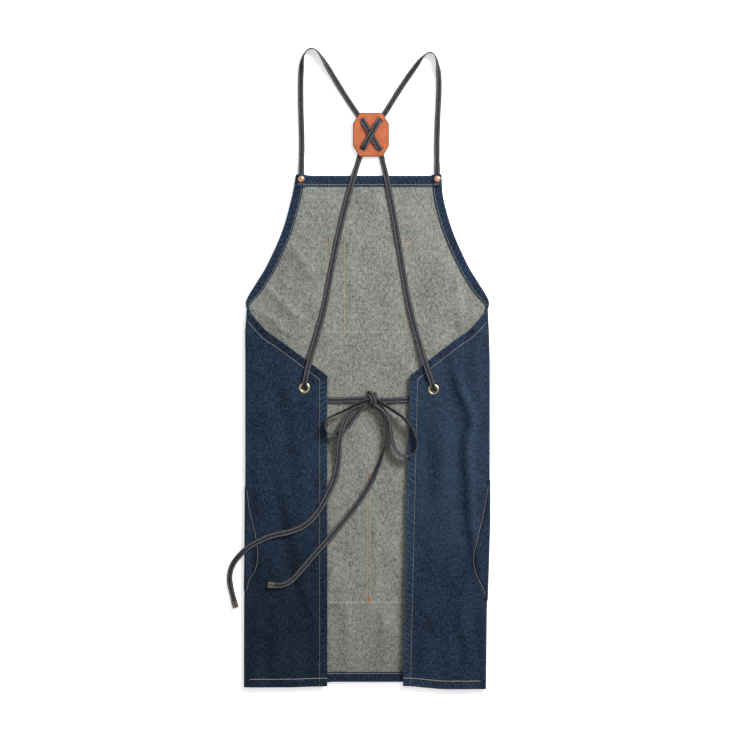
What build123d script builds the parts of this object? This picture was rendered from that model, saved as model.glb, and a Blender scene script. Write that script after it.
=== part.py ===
"""Denim cross-back apron lying flat, outside down, sides folded inward, ties knotted in a bow.

Frame: X across the apron, Y towards the bib, Z up from the surface that it lies on.
The origin is at the middle of the cloth's outline, on that surface. Millimetres.
"""
from build123d import *
import math
import os

# ---- Driving dimensions -------------------------------------------------------------------
garment_length = 864.0        # bib's top edge to the hem
folded_width = 414.0          # between the two side folds
bib_width = 245.0             # along the bib's top edge
bib_shift = 2.0               # the bib lies this far to the right of the middle
cloth = 1.0                   # denim thickness
hem_width = 16.0
facing_width = 15.0
strap_width = 9.5
strap_thickness = 2.2
lead_thickness = 2.0          # pressed flat under the wing
clearance = 0.3               # between soft pieces that move apart

# Heights of the layers, from the surface up
front_z = cloth               # the pockets lie below the front panel
inside_z = front_z + cloth    # inside face of the front panel: hems and facings lie on it
lead_z = inside_z + 0.4       # strap run between front panel and wing
wing_hem_z = lead_z + lead_thickness
wing_z = wing_hem_z + cloth
wing_top_z = wing_z + cloth
layer_top = 20.0              # above everything
reach = 600.0                 # cutting sketches go this far beyond the apron
end_gap = 0.8                 # between the ends of straps that meet on different bodies

# Outline
top_y = garment_length / 2
hem_y = -garment_length / 2
fold_x = folded_width / 2
fold_mid_z = (front_z + wing_top_z) / 2
fold_outer = (wing_top_z - front_z) / 2
fold_inner = fold_outer - cloth
hinge_x = fold_x - fold_outer
hinge_gap = 16.0              # degrees of fold left open for the wing's travel

armhole = [(128.5, 393), (144, 339), (168, 285), (184, 258), (200, 232)]
armhole_foot = (hinge_x, 223)
wing_corner = {"left": (-68, 95), "right": (72.5, 96)}
wing_foot_x = {"left": -68, "right": 60}
wing_fold_y = 207             # where the wing's armhole edge meets the side fold
wing_edge_mid = (145, 153)    # the wing's armhole edge is a shallow hollow curve

# Hardware
rivet_at = {"left": (-112, 428), "right": (118, 428)}
rivet_cap_radius = 5.2
rivet_shank_radius = 2.0
rivet_cap_height = 1.4
rivet_burr_radius = 4.5
corner_radius = 9.5           # the bib's corners bulge round the strap roots
corner_block_width = 24.0     # the hem is raised over each strap root
grommet_at = {"left": (-106.5, 75.5), "right": (111.5, 72.5)}
grommet_outer_radius = 9.5
grommet_hole_radius = 5.3
grommet_barrel_radius = 6.1
grommet_plate = 0.8

# Keeper patch
keeper_at = (6, 503)
keeper_size = (61, 74.5)
keeper_corner = (9.5, 18)
keeper_z = strap_thickness + clearance
keeper_thickness = 2.3
slot_half_pitch = (14, 24.5)
slot_size = (12.4, 4.4)

# Pockets
chest_pocket_box = (-70, 65, 170, 325)
hand_pocket_low = -287
hand_pocket_high = -72
# The pocket's ends wrap onto the wings as blunt triangles: outer corner, and span at the fold
pocket_corner = {"left": (-184, -214), "right": (177, -216)}
pocket_span = {"left": (-266, -88), "right": (-280, -76)}
pocket_corner_radius = 22

SIDES = (("left", -1), ("right", 1))

# ---- Strap routes: plan points of each centre line -----------------------------------------
shoulder_route = {
    "left": [(-112, 417.3), (-111.9, 444), (-110.5, 490), (-112.5, 540), (-112.9, 586), (-112, 616),
             (-109, 635), (-104, 645), (-95, 650), (-85, 645.5), (-77, 634), (-64, 612),
             (-44.6, 579.4), (-24.4, 548.6)],
    "right": [(118, 417.3), (117.6, 444), (117.2, 490), (119, 540), (121.2, 580), (120.6, 605),
              (118.5, 622), (116.5, 633), (110.5, 641.5), (101.5, 642), (93, 634.5), (82, 619.5),
              (66, 597), (49, 571.5), (35.4, 548.6)],
}
back_route = {
    "left": [(-15.4, 458), (-23, 434), (-36, 386), (-48.5, 336), (-61, 275), (-73, 207),
             (-88, 155), (-99, 116), (-106.1, 78)],
    "right": [(25.6, 458), (31.5, 434), (41, 386), (50, 336), (59.5, 275), (68.5, 222),
              (83.5, 163), (97, 118), (110.8, 75.5)],
}
lead_route = {
    "left": [(-106.5, 75.5), (-91, 60), (-69.5, 54.2)],
    "right": [(111.5, 72.5), (95, 60), (74, 56.2)],
}
tie_route = {
    "left": [(-67.6, 54), (-34, 55), (0, 57.5)],
    "right": [(71, 56), (43, 55), (14, 55.5)],
}
loop_route = {
    "left": [(4, 55), (-16, 50), (-36, 38.5), (-56, 29.5), (-71, 22), (-74, 8), (-67, -6),
             (-52, -9), (-38, 2), (-25, 22), (-10, 42), (4, 52)],
    "right": [(11, 56), (26, 49), (45, 35), (62, 24), (76, 6), (84.5, -17), (81, -36),
              (67, -44), (53, -38), (42, -22), (39, 2), (36, 22), (26, 40), (11, 50)],
}
tail_route = {
    "left": [(1, 46), (-17, 42.5), (-33, 33), (-44, 15), (-49.5, -10), (-48.5, -45),
             (-53.5, -76), (-66, -103), (-82, -133), (-101, -155), (-128, -167.5),
             (-158, -172.5), (-186, -184), (-209, -199), (-228, -221), (-234.5, -245),
             (-229, -272), (-222.5, -296)],
    "right": [(11, 46.5), (23, 39), (31.5, 22), (34.5, 0), (30, -28), (18, -56), (4, -88),
              (-16, -119), (-42, -152), (-68, -182.5), (-93, -210), (-114, -235),
              (-131, -253), (-150, -259.5), (-168, -256)],
}

# Height of each strap's underside along the apron, as (y, z) corners
on_front = inside_z + clearance
on_hem = inside_z + cloth + clearance
on_wing = wing_top_z + clearance
on_pocket = on_wing + cloth
on_grommet = wing_top_z + grommet_plate + 0.2
over_tie = on_front + strap_thickness + clearance
shoulder_heights = [(400, inside_z), (438, inside_z), (454, 0), (700, 0)]
back_heights = [(60, on_grommet), (90, on_grommet), (97, on_wing), (127, on_wing), (152, on_front),
                (404, on_front), (412, on_hem), (436, on_hem), (447, 0), (470, 0)]
tail_heights = {
    "left": [(-310, 0), (-228, 0), (-208, on_pocket), (-160, on_pocket), (-150, on_wing),
             (-88, on_wing), (-66, on_front), (70, on_front)],
    "right": [(-275, on_wing), (-166, on_wing), (-146, on_front), (70, on_front)],
}
# The bow's loops stand on edge; their heights run across the apron, as (x, z) corners
loop_heights = {
    "left": [(-90, on_wing), (-64, on_wing), (-56, over_tie), (20, over_tie)],
    "right": [(0, over_tie), (60, over_tie), (68, on_wing), (95, on_wing)],
}

knot_at = (7.6, 55.8)
knot_size = (17, 21)
knot_height = 8.2


def corner_radii(points):
    """The largest arcs that a route's runs leave room for, one for each corner."""
    places = [Vector(*p) for p in points]
    radii = []
    for before, here, after in zip(places, places[1:], places[2:]):
        turn = (here - before).get_angle(after - here)
        shorter = min((here - before).length, (after - here).length)
        radii.append(0.45 * shorter / math.tan(math.radians(turn / 2)))
    return radii


def side_plane(along, at=(0, 0)):
    """Upright plane whose local x runs along a level direction and whose local y is up."""
    direction = Vector(*along)
    return Plane(origin=(at[0], at[1], 0), x_dir=direction, z_dir=direction.cross(Vector(0, 0, 1)))


def flat_strap(route, profile, plane, plan_width=strap_width):
    """A flat strap: the plan of its route, cut to the side profile that gives its height."""
    with BuildPart() as strap:
        with BuildSketch():
            with BuildLine():
                FilletPolyline(*route, radius=corner_radii(route))
            trace(line_width=plan_width)
        extrude(amount=layer_top)
        with BuildSketch(plane):
            with BuildLine():
                Polyline(*profile, close=True)
            make_face()
        extrude(amount=reach, both=True, mode=Mode.INTERSECT)
    return strap.part


def band_profile(heights, depth=strap_thickness):
    """Side profile of a strap that follows the given heights with its underside."""
    upper = [(s, z + depth) for s, z in reversed(heights)]
    return list(heights) + upper


def print_strap(name, route, strap, section=strap_width * strap_thickness):
    """Print a strap's corner radii, and its volume beside its section times its length."""
    radii = corner_radii(route)
    with BuildLine() as centre_line:
        FilletPolyline(*route, radius=radii)
    length = sum(edge.length for edge in centre_line.edges())
    print(f"{name}: length {length:.0f} mm, volume {strap.volume:.0f} mm3,",
          f"section x length {section * length:.0f} mm3, corner radii",
          ", ".join(f"{radius:.0f}" for radius in radii))


def front_outline():
    """Plan of the front panel: hem, side folds, armhole curves and the bulged bib corners."""
    with BuildSketch() as outline:
        with BuildLine():
            right = [(bib_shift + bib_width / 2, top_y)] + [(x, y) for x, y in armhole]
            left = [(bib_shift - bib_width / 2, top_y)] + [(-x, y) for x, y in armhole]
            Spline(*right, armhole_foot)
            Line(armhole_foot, (hinge_x, hem_y))
            Line((hinge_x, hem_y), (-hinge_x, hem_y))
            Line((-hinge_x, hem_y), (-armhole_foot[0], armhole_foot[1]))
            Spline((-armhole_foot[0], armhole_foot[1]), *reversed(left))
            Line(left[0], right[0])
        make_face()
        with Locations(*rivet_at.values()):
            Circle(corner_radius)
    return outline.sketch


def wing_outline(side, sign):
    """Plan of a wing from its side fold to the skirt's back edge."""
    corner = wing_corner[side]
    fold_top = (sign * hinge_x, wing_fold_y)
    foot = (wing_foot_x[side], hem_y)
    with BuildSketch() as outline:
        with BuildLine():
            ThreePointArc(fold_top, (sign * wing_edge_mid[0], wing_edge_mid[1]), corner)
            Line(corner, foot)
            Line(foot, (sign * hinge_x, hem_y))
            Line((sign * hinge_x, hem_y), fold_top)
        make_face()
    return outline.sketch


def fold_strip(sign, inner, outer, start, stop, low_y, high_y):
    """Part of a side fold between two angles (0 is outward, 90 is up) and two places along it."""
    centre = (sign * hinge_x, low_y, fold_mid_z)
    with BuildPart() as strip:
        with BuildSketch(Plane(origin=centre, x_dir=(sign, 0, 0), z_dir=(0, -sign, 0))):
            Circle(outer)
            Circle(inner, mode=Mode.SUBTRACT)
            with BuildLine():
                rim = [(3 * outer * math.cos(math.radians(a)), 3 * outer * math.sin(math.radians(a)))
                       for a in (start, (start + stop) / 2, stop)]
                Polyline((0, 0), *rim, close=True)
            make_face(mode=Mode.INTERSECT)
        extrude(amount=high_y - low_y, dir=(0, 1, 0))
    return strip.part


def finish(name, shape):
    """Label a piece and write it."""
    shape.label = name
    export_step(shape, f"parts/{name}.step")


os.makedirs("parts", exist_ok=True)
along_y = side_plane((0, 1))
panel_plan = front_outline()
wing_plan = {side: wing_outline(side, sign) for side, sign in SIDES}
wing_fold_length = wing_fold_y - hem_y

# ---- Front panel and what is sewn to it --------------------------------------------------
with BuildPart() as front_panel:
    with BuildSketch(Plane.XY.offset(front_z)):
        add(panel_plan)
    extrude(amount=cloth)
    for side, sign in SIDES:
        add(fold_strip(sign, fold_inner, fold_outer, -90, 0, hem_y, wing_fold_y))
    with Locations(*[(x, y, inside_z) for x, y in rivet_at.values()]):
        Hole(rivet_shank_radius, depth=cloth)
finish("front_panel", front_panel.part)

hem_low_y = top_y - facing_width
with BuildPart() as top_hem:
    with BuildSketch(Plane.XY.offset(inside_z)):
        add(panel_plan)
        with Locations((0, hem_low_y)):
            Rectangle(2 * folded_width, 2 * facing_width, align=(Align.CENTER, Align.MIN),
                      mode=Mode.INTERSECT)
    extrude(amount=cloth)
    for side, sign in SIDES:
        x, y = rivet_at[side]
        with BuildSketch(Plane.XY.offset(inside_z)):
            add(panel_plan)
            with Locations((x, hem_low_y)):
                Rectangle(corner_block_width, 2 * facing_width, align=(Align.CENTER, Align.MIN),
                          mode=Mode.INTERSECT)
        extrude(amount=strap_thickness + cloth)
        with Locations((x, hem_low_y, inside_z)):
            Box(strap_width + 2 * clearance, 3 * facing_width, strap_thickness,
                align=(Align.CENTER, Align.MIN, Align.MIN), mode=Mode.SUBTRACT)
        with Locations((x, y, inside_z + strap_thickness + cloth)):
            Hole(rivet_shank_radius, depth=strap_thickness + cloth)
finish("top_hem", top_hem.part)

for side, sign in SIDES:
    with BuildPart() as facing:
        with BuildSketch(Plane.XY.offset(inside_z)):
            with BuildLine():
                top = (bib_shift + sign * bib_width / 2, top_y)
                Spline(top, *[(sign * x, y) for x, y in armhole], (sign * armhole_foot[0], armhole_foot[1]))
            trace(line_width=2 * facing_width)
            add(panel_plan, mode=Mode.INTERSECT)
            with Locations((0, hem_low_y)):
                Rectangle(2 * folded_width, garment_length, align=(Align.CENTER, Align.MAX),
                          mode=Mode.INTERSECT)
        extrude(amount=cloth)
    finish(f"{side}_armhole_facing", facing.part)

with BuildPart() as front_bottom_hem:
    with Locations((0, hem_y, inside_z)):
        Box(2 * hinge_x, hem_width, cloth, align=(Align.CENTER, Align.MIN, Align.MIN))
finish("front_bottom_hem", front_bottom_hem.part)

chest_left, chest_right, chest_low, chest_high = chest_pocket_box
with BuildPart() as chest_pocket:
    with BuildSketch():
        with Locations(((chest_left + chest_right) / 2, (chest_low + chest_high) / 2)):
            Rectangle(chest_right - chest_left, chest_high - chest_low)
    extrude(amount=cloth)
finish("chest_pocket", chest_pocket.part)

fold_wrap = fold_outer + cloth
with BuildPart() as hand_pocket:
    with BuildSketch() as hand_pocket_sketch:
        with Locations((0, hand_pocket_low)):
            Rectangle(2 * hinge_x, hand_pocket_high - hand_pocket_low,
                      align=(Align.CENTER, Align.MIN))
        low_corners = hand_pocket_sketch.vertices().group_by(Axis.Y)[0]
        chamfer(low_corners, 21)
    extrude(amount=cloth)
    for side, sign in SIDES:
        add(fold_strip(sign, fold_outer, fold_wrap, -90, 0, *pocket_span[side]))
finish("hand_pocket", hand_pocket.part)

# ---- Wings: each turns about its side fold -------------------------------------------------
for side, sign in SIDES:
    corner = wing_corner[side]
    foot = (wing_foot_x[side], hem_y)
    grommet = grommet_at[side]
    fold_top = (sign * hinge_x, wing_fold_y)
    mid = (sign * wing_edge_mid[0], wing_edge_mid[1])

    with BuildPart() as wing:
        with BuildSketch(Plane.XY.offset(wing_z)):
            add(wing_plan[side])
            with Locations(grommet):
                Circle(grommet_barrel_radius, mode=Mode.SUBTRACT)
        extrude(amount=cloth)
        add(fold_strip(sign, fold_inner, fold_outer, hinge_gap, 90, hem_y, wing_fold_y))
    finish(f"{side}_wing", wing.part)

    with BuildPart() as wing_facing:
        with BuildSketch(Plane.XY.offset(wing_hem_z)):
            with BuildLine():
                ThreePointArc(fold_top, mid, corner)
            trace(line_width=2 * facing_width)
            add(wing_plan[side], mode=Mode.INTERSECT)
        extrude(amount=cloth)
    finish(f"{side}_wing_facing", wing_facing.part)

    with BuildPart() as edge_hem:
        with BuildSketch(Plane.XY.offset(wing_hem_z)):
            with BuildLine():
                Line(corner, foot)
            trace(line_width=2 * hem_width)
            add(wing_plan[side], mode=Mode.INTERSECT)
        extrude(amount=cloth)
        add(wing_facing.part, mode=Mode.SUBTRACT)
    finish(f"{side}_wing_edge_hem", edge_hem.part)

    with BuildPart() as bottom_hem:
        with BuildSketch(Plane.XY.offset(wing_hem_z)):
            with BuildLine():
                Line(foot, (sign * hinge_x, hem_y))
            trace(line_width=2 * hem_width)
            add(wing_plan[side], mode=Mode.INTERSECT)
        extrude(amount=cloth)
        add(edge_hem.part, mode=Mode.SUBTRACT)
    finish(f"{side}_wing_bottom_hem", bottom_hem.part)

    span_low, span_high = pocket_span[side]
    with BuildPart() as pocket_end:
        with BuildSketch(Plane.XY.offset(wing_top_z)):
            with BuildLine():
                high, low = (sign * hinge_x, span_high), (sign * hinge_x, span_low)
                FilletPolyline(high, pocket_corner[side], low, radius=pocket_corner_radius)
                Line(low, high)
            make_face()
        extrude(amount=cloth)
        add(fold_strip(sign, fold_outer, fold_wrap, hinge_gap, 90, span_low, span_high))
    finish(f"{side}_pocket_end", pocket_end.part)

    with BuildPart() as grommet_part:
        with Locations((*grommet, wing_top_z)):
            Cylinder(grommet_outer_radius, grommet_plate,
                     align=(Align.CENTER, Align.CENTER, Align.MIN))
            Cylinder(grommet_barrel_radius, cloth + grommet_plate,
                     align=(Align.CENTER, Align.CENTER, Align.MAX))
        with Locations((*grommet, wing_top_z + grommet_plate)):
            Hole(grommet_hole_radius)
        rim = grommet_part.edges().filter_by(GeomType.CIRCLE).group_by(Axis.Z)[-1]
        fillet(rim.sort_by(SortBy.RADIUS)[-1], 0.6)
    finish(f"{side}_grommet", grommet_part.part)

    with BuildPart() as washer:
        with Locations((*grommet, wing_z)):
            Cylinder(grommet_outer_radius, grommet_plate,
                     align=(Align.CENTER, Align.CENTER, Align.MAX))
            Cylinder(grommet_barrel_radius, grommet_plate,
                     align=(Align.CENTER, Align.CENTER, Align.MAX), mode=Mode.SUBTRACT)
    finish(f"{side}_grommet_washer", washer.part)

# ---- Rivets through the bib's corners ------------------------------------------------------
cap_z = inside_z + strap_thickness + cloth
burr_z = 0.2
for side, sign in SIDES:
    x, y = rivet_at[side]
    with BuildPart() as rivet:
        with Locations((x, y, burr_z)):
            Cylinder(rivet_shank_radius, cap_z - burr_z,
                     align=(Align.CENTER, Align.CENTER, Align.MIN))
        with Locations((x, y, cap_z)):
            Cylinder(rivet_cap_radius, rivet_cap_height,
                     align=(Align.CENTER, Align.CENTER, Align.MIN))
        fillet(rivet.edges().filter_by(GeomType.CIRCLE).group_by(Axis.Z)[-1], 0.9)
    finish(f"{side}_rivet", rivet.part)

    with BuildPart() as burr:
        with Locations((x, y, burr_z)):
            Cylinder(rivet_burr_radius, front_z - burr_z, align=(Align.CENTER, Align.CENTER, Align.MIN))
            Cylinder(rivet_shank_radius, cloth, align=(Align.CENTER, Align.CENTER, Align.MIN),
                     mode=Mode.SUBTRACT)
    finish(f"{side}_rivet_burr", burr.part)

# ---- Keeper patch and the straps that cross on it ------------------------------------------
slots = {}
for name, x_sign, y_sign in (("left_in", -1, 1), ("right_in", 1, 1),
                             ("left_out", 1, -1), ("right_out", -1, -1)):
    slots[name] = (keeper_at[0] + x_sign * slot_half_pitch[0],
                   keeper_at[1] + y_sign * slot_half_pitch[1])

with BuildPart() as keeper:
    with BuildSketch(Plane.XY.offset(keeper_z)):
        half_x, half_y = keeper_size[0] / 2, keeper_size[1] / 2
        cut_x, cut_y = keeper_corner
        with BuildLine():
            quarter = [(half_x - cut_x, half_y), (half_x, half_y - cut_y)]
            right = quarter + [(x, -y) for x, y in reversed(quarter)]
            ring = right + [(-x, y) for x, y in reversed(right)]
            Polyline(*[(keeper_at[0] + x, keeper_at[1] + y) for x, y in ring], close=True)
        make_face()
        for side, sign in SIDES:
            rise = Vector(*slots[f"{side}_out"]) - Vector(*slots[f"{side}_in"])
            angle = math.degrees(math.atan2(rise.Y, rise.X)) + 90
            for place in (slots[f"{side}_in"], slots[f"{side}_out"]):
                with Locations(place):
                    SlotOverall(*slot_size, rotation=angle, mode=Mode.SUBTRACT)
    extrude(amount=keeper_thickness)
finish("keeper", keeper.part)

keeper_top = keeper_z + keeper_thickness
for side, sign in SIDES:
    other = "right" if side == "left" else "left"
    slot_in, slot_out = Vector(*slots[f"{side}_in"]), Vector(*slots[f"{side}_out"])
    enter = Vector(*shoulder_route[side][-1])
    leave = Vector(*back_route[other][0])
    enter = enter + (slot_in - enter).normalized() * end_gap
    leave = leave + (slot_out - leave).normalized() * end_gap
    run = (slot_out - slot_in).length
    face_z = keeper_top if side == "left" else keeper_top + strap_thickness
    half = strap_thickness / 2
    profile = [(-reach, 0), (half, 0), (half, face_z), (run - half, face_z), (run - half, 0),
               (run + reach, 0), (run + reach, strap_thickness), (run + half, strap_thickness),
               (run + half, face_z + strap_thickness), (-half, face_z + strap_thickness),
               (-half, strap_thickness), (-reach, strap_thickness)]
    route = [(v.X, v.Y) for v in (enter, slot_in, slot_out, leave)]
    crossing = flat_strap(route, profile, side_plane(slot_out - slot_in, slots[f"{side}_in"]))
    finish(f"{side}_strap_crossing", crossing)
    print_strap(f"{side}_strap_crossing", route, crossing)

# ---- Straps --------------------------------------------------------------------------------
with BuildPart() as bow_knot:
    with BuildSketch(Plane.XY.offset(on_front)):
        with Locations(knot_at):
            Ellipse(knot_size[0] / 2, knot_size[1] / 2)
    extrude(amount=knot_height)
    fillet(bow_knot.edges().group_by(Axis.Z)[-1], 3)
finish("bow_knot", bow_knot.part)

for side, sign in SIDES:
    grommet = grommet_at[side]
    shoulder = flat_strap(shoulder_route[side], band_profile(shoulder_heights), along_y)
    print_strap(f"{side}_shoulder_strap", shoulder_route[side], shoulder)
    with BuildPart() as shoulder_strap:
        add(shoulder)
        with Locations((*rivet_at[side], inside_z + strap_thickness)):
            Hole(rivet_shank_radius, depth=strap_thickness)
    finish(f"{side}_shoulder_strap", shoulder_strap.part)

    back = flat_strap(back_route[side], band_profile(back_heights), along_y)
    finish(f"{side}_back_strap", back)
    print_strap(f"{side}_back_strap", back_route[side], back)

    level = [(-reach, lead_z), (reach, lead_z)]
    lead = flat_strap(lead_route[side], band_profile(level, lead_thickness), along_y)
    print_strap(f"{side}_tie_lead", lead_route[side], lead, strap_width * lead_thickness)
    with BuildPart() as tie_lead:
        add(lead)
        with Locations((*grommet, lead_z)):
            Box(strap_width, strap_thickness, on_grommet + strap_thickness - lead_z,
                align=(Align.CENTER, Align.CENTER, Align.MIN))
    finish(f"{side}_tie_lead", tie_lead.part)

    tie = flat_strap(tie_route[side], band_profile([(-reach, on_front), (reach, on_front)]), along_y)
    print_strap(f"{side}_tie", tie_route[side], tie)
    with BuildPart() as tie_part:
        add(tie)
        add(bow_knot.part, mode=Mode.SUBTRACT)
    finish(f"{side}_tie", tie_part.part)

    loop = flat_strap(loop_route[side], band_profile(loop_heights[side], strap_width),
                      side_plane((1, 0)), plan_width=strap_thickness)
    print_strap(f"{side}_bow_loop", loop_route[side], loop)
    with BuildPart() as bow_loop:
        add(loop)
        add(bow_knot.part, mode=Mode.SUBTRACT)
    finish(f"{side}_bow_loop", bow_loop.part)

    tail = flat_strap(tail_route[side], band_profile(tail_heights[side]), along_y)
    print_strap(f"{side}_tie_tail", tail_route[side], tail)
    with BuildPart() as tie_tail:
        add(tail)
        add(bow_knot.part, mode=Mode.SUBTRACT)
    finish(f"{side}_tie_tail", tie_tail.part)
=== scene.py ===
"""Denim cross-back apron, lying outside down with its sides folded inward: how it looks.

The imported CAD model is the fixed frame. Metres, in its axes: X across the apron, Y towards the
bib, Z up from the surface that it lies on.
"""
from functools import partial
import math

import bpy
import numpy as np
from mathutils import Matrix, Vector
from mathutils.geometry import delaunay_2d_cdt


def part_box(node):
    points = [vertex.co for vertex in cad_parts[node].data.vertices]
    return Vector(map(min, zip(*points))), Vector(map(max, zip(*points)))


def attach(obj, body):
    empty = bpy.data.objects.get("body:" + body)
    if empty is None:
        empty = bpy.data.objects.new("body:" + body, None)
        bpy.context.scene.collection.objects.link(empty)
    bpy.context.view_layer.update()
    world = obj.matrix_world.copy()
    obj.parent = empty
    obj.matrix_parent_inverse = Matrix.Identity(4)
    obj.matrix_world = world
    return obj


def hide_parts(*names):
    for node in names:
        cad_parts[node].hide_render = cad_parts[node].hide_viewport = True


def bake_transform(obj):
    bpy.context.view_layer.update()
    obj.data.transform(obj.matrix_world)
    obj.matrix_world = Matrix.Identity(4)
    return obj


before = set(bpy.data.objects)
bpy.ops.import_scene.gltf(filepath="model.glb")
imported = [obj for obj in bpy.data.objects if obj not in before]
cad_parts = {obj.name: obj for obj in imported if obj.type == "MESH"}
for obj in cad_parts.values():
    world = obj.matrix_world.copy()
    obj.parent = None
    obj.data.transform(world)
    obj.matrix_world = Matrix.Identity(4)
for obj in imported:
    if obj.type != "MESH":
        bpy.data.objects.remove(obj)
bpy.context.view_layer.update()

SIDES = (("left", -1), ("right", 1))
UP = np.array([0.0, 0.0, 1.0])

# ---- Sizes that come from the frame ------------------------------------------------------------
hem_low, hem_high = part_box("front_bottom_hem")
hem_y = hem_low.y
top_y = -hem_y
cloth = hem_high.z - hem_low.z
inside_z = hem_low.z                                  # the front panel's inside face
front_z = inside_z - cloth
wing_top_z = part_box("left_wing")[1].z
wing_z = wing_top_z - cloth
fold_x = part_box("right_wing")[1].x
fold_top_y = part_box("left_wing")[1].y
fold_mid_z = (front_z + wing_top_z) / 2
fold_radius = (wing_top_z - front_z - cloth) / 2      # to the middle of the cloth
fold_reach = fold_radius + cloth / 2
rivet_at = {side: sum(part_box(f"{side}_rivet"), Vector()) / 2 for side, _ in SIDES}
grommet_at = {side: sum(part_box(f"{side}_grommet"), Vector()) / 2 for side, _ in SIDES}
chest_low, chest_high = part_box("chest_pocket")
hand_pocket_low, hand_pocket_high = (corner.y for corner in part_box("hand_pocket"))

strap_width = 0.0095
strap_thickness = 0.0022
hem_width = 0.016
facing_width = 0.015

# ---- Camera: looks straight down, a little above the middle of the apron -----------------------
view_centre = (0.0127, 0.0972)
view_width = 1.268
lens, sensor = 100.0, 36.0
camera_data = bpy.data.cameras.new("camera")
camera_data.lens = lens
camera_data.sensor_width = sensor
camera_data.clip_end = 50.0
camera = bpy.data.objects.new("camera", camera_data)
camera.location = (*view_centre, view_width * lens / sensor)
bpy.context.scene.collection.objects.link(camera)
bpy.context.scene.camera = camera
bpy.context.scene.view_settings.view_transform = "Standard"


# ---- Curves and surfaces as arrays -------------------------------------------------------------
def spline_points(points):
    """The line of a NURBS spline that has these points as its control points."""
    curve = bpy.data.curves.new("route", "CURVE")
    curve.dimensions = "3D"
    spline = curve.splines.new("NURBS")
    spline.points.add(len(points) - 1)
    for control, place in zip(spline.points, points):
        control.co = (*place, 1.0)
    spline.order_u = 3
    spline.use_endpoint_u = True
    spline.resolution_u = 14
    holder = bpy.data.objects.new("route", curve)
    mesh = bpy.data.meshes.new_from_object(holder)
    line = np.array([v.co for v in mesh.vertices], float)
    bpy.data.meshes.remove(mesh)
    bpy.data.objects.remove(holder)
    bpy.data.curves.remove(curve)
    return line


def smooth_line(points, count):
    """A Catmull-Rom curve through points in the plane, as count places evenly along it."""
    knots = np.array(points, float)
    ends = np.vstack([2 * knots[0] - knots[1], knots, 2 * knots[-1] - knots[-2]])
    t = np.linspace(0, 1, 24, endpoint=False)[:, None]
    spans = []
    for a, b, c, d in zip(ends, ends[1:], ends[2:], ends[3:]):
        spans.append(0.5 * (2 * b + (c - a) * t + (2 * a - 5 * b + 4 * c - d) * t ** 2
                            + (3 * b - a - 3 * c + d) * t ** 3))
    return evenly(np.vstack([*spans, knots[-1:]]), count)


def lengths_along(line):
    """Distance from a line's start to each of its points."""
    return np.concatenate([[0], np.cumsum(np.linalg.norm(np.diff(line, axis=0), axis=1))])


def sampled(line, values, places):
    """values, one row for each point of a line, at places given as distances along it."""
    along = lengths_along(line)
    return np.stack([np.interp(places, along, column) for column in np.asarray(values).T], axis=1)


def evenly(line, count):
    """count points at equal distances along a line."""
    return sampled(line, line, np.linspace(0, lengths_along(line)[-1], count))


def joined(*parts):
    """Coordinates brought together into an array of places."""
    return np.stack(np.broadcast_arrays(*parts), axis=-1)


def unit(vectors):
    return vectors / np.maximum(np.linalg.norm(vectors, axis=-1, keepdims=True), 1e-12)


def smoothstep(low, high, value):
    t = np.clip((value - low) / (high - low), 0, 1)
    return t * t * (3 - 2 * t)


WAVES = 9


def ripples(x, y, wavelength, seed, stretch=(1.0, 1.0)):
    """Repeatable gentle unevenness of about unit size: a sum of plane waves in all directions."""
    draw = np.random.default_rng(seed)
    total = 0
    for _ in range(WAVES):
        angle, phase = draw.uniform(0, 2 * math.pi, 2)
        number = 2 * math.pi / (wavelength * draw.uniform(0.7, 1.5))
        total = total + np.sin(number * (x * math.cos(angle) / stretch[0]
                                         + y * math.sin(angle) / stretch[1]) + phase)
    return total / math.sqrt(WAVES)


def creases(x, y, wavelength, seed, sharpness=3.0, stretch=(1.0, 1.0)):
    """Thin raised lines where a ripple field crosses zero, fading in and out along their run."""
    line = np.exp(-(sharpness * ripples(x, y, wavelength, seed, stretch)) ** 2)
    return line * np.clip(0.5 + 0.7 * ripples(x, y, wavelength * 1.3, seed + 50), 0, 1.2)


# ---- Meshes ------------------------------------------------------------------------------------
def make_piece(name, parts, slots, sharp_angle=50):
    """One object out of parts, each (points, faces, uv, how rubbed each point is with its painted
    shading, slot number for each face).
    """
    points, faces, uvs, wears, numbers = [], [], [], [], []
    start = 0
    for part_points, part_faces, part_uv, part_wear, part_slots in parts:
        points.append(part_points)
        faces += [[v + start for v in face] for face in part_faces]
        uvs.append(part_uv)
        wears.append(np.broadcast_to(part_wear, len(part_points)))
        numbers += list(np.broadcast_to(part_slots, len(part_faces)))
        start += len(part_points)
    mesh = bpy.data.meshes.new(name)
    mesh.from_pydata(np.vstack(points).tolist(), [], faces)
    corners = np.zeros(len(mesh.loops), np.int32)
    mesh.loops.foreach_get("vertex_index", corners)
    layer = mesh.uv_layers.new(name="weave")
    layer.data.foreach_set("uv", np.vstack(uvs)[corners].astype(np.float32).ravel())
    wear_and_shading = mesh.attributes.new("wear_and_shading", "FLOAT", "POINT")
    wear_and_shading.data.foreach_set("value", np.concatenate(wears).astype(np.float32))
    for material in slots:
        mesh.materials.append(material)
    mesh.polygons.foreach_set("material_index", np.array(numbers, np.int32))
    mesh.shade_smooth()
    mesh.set_sharp_from_angle(angle=math.radians(sharp_angle))
    piece = bpy.data.objects.new(name, mesh)
    bpy.context.scene.collection.objects.link(piece)
    return piece


def grid_faces(rows, columns, start=0, flip=False):
    """Quads between neighbouring points of a grid that is stored row by row."""
    index = start + np.arange(rows * columns).reshape(rows, columns)
    quads = np.stack([index[:-1, :-1], index[:-1, 1:], index[1:, 1:], index[1:, :-1]], axis=-1)
    quads = quads.reshape(-1, 4)
    return (quads[:, ::-1] if flip else quads).tolist()


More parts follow.
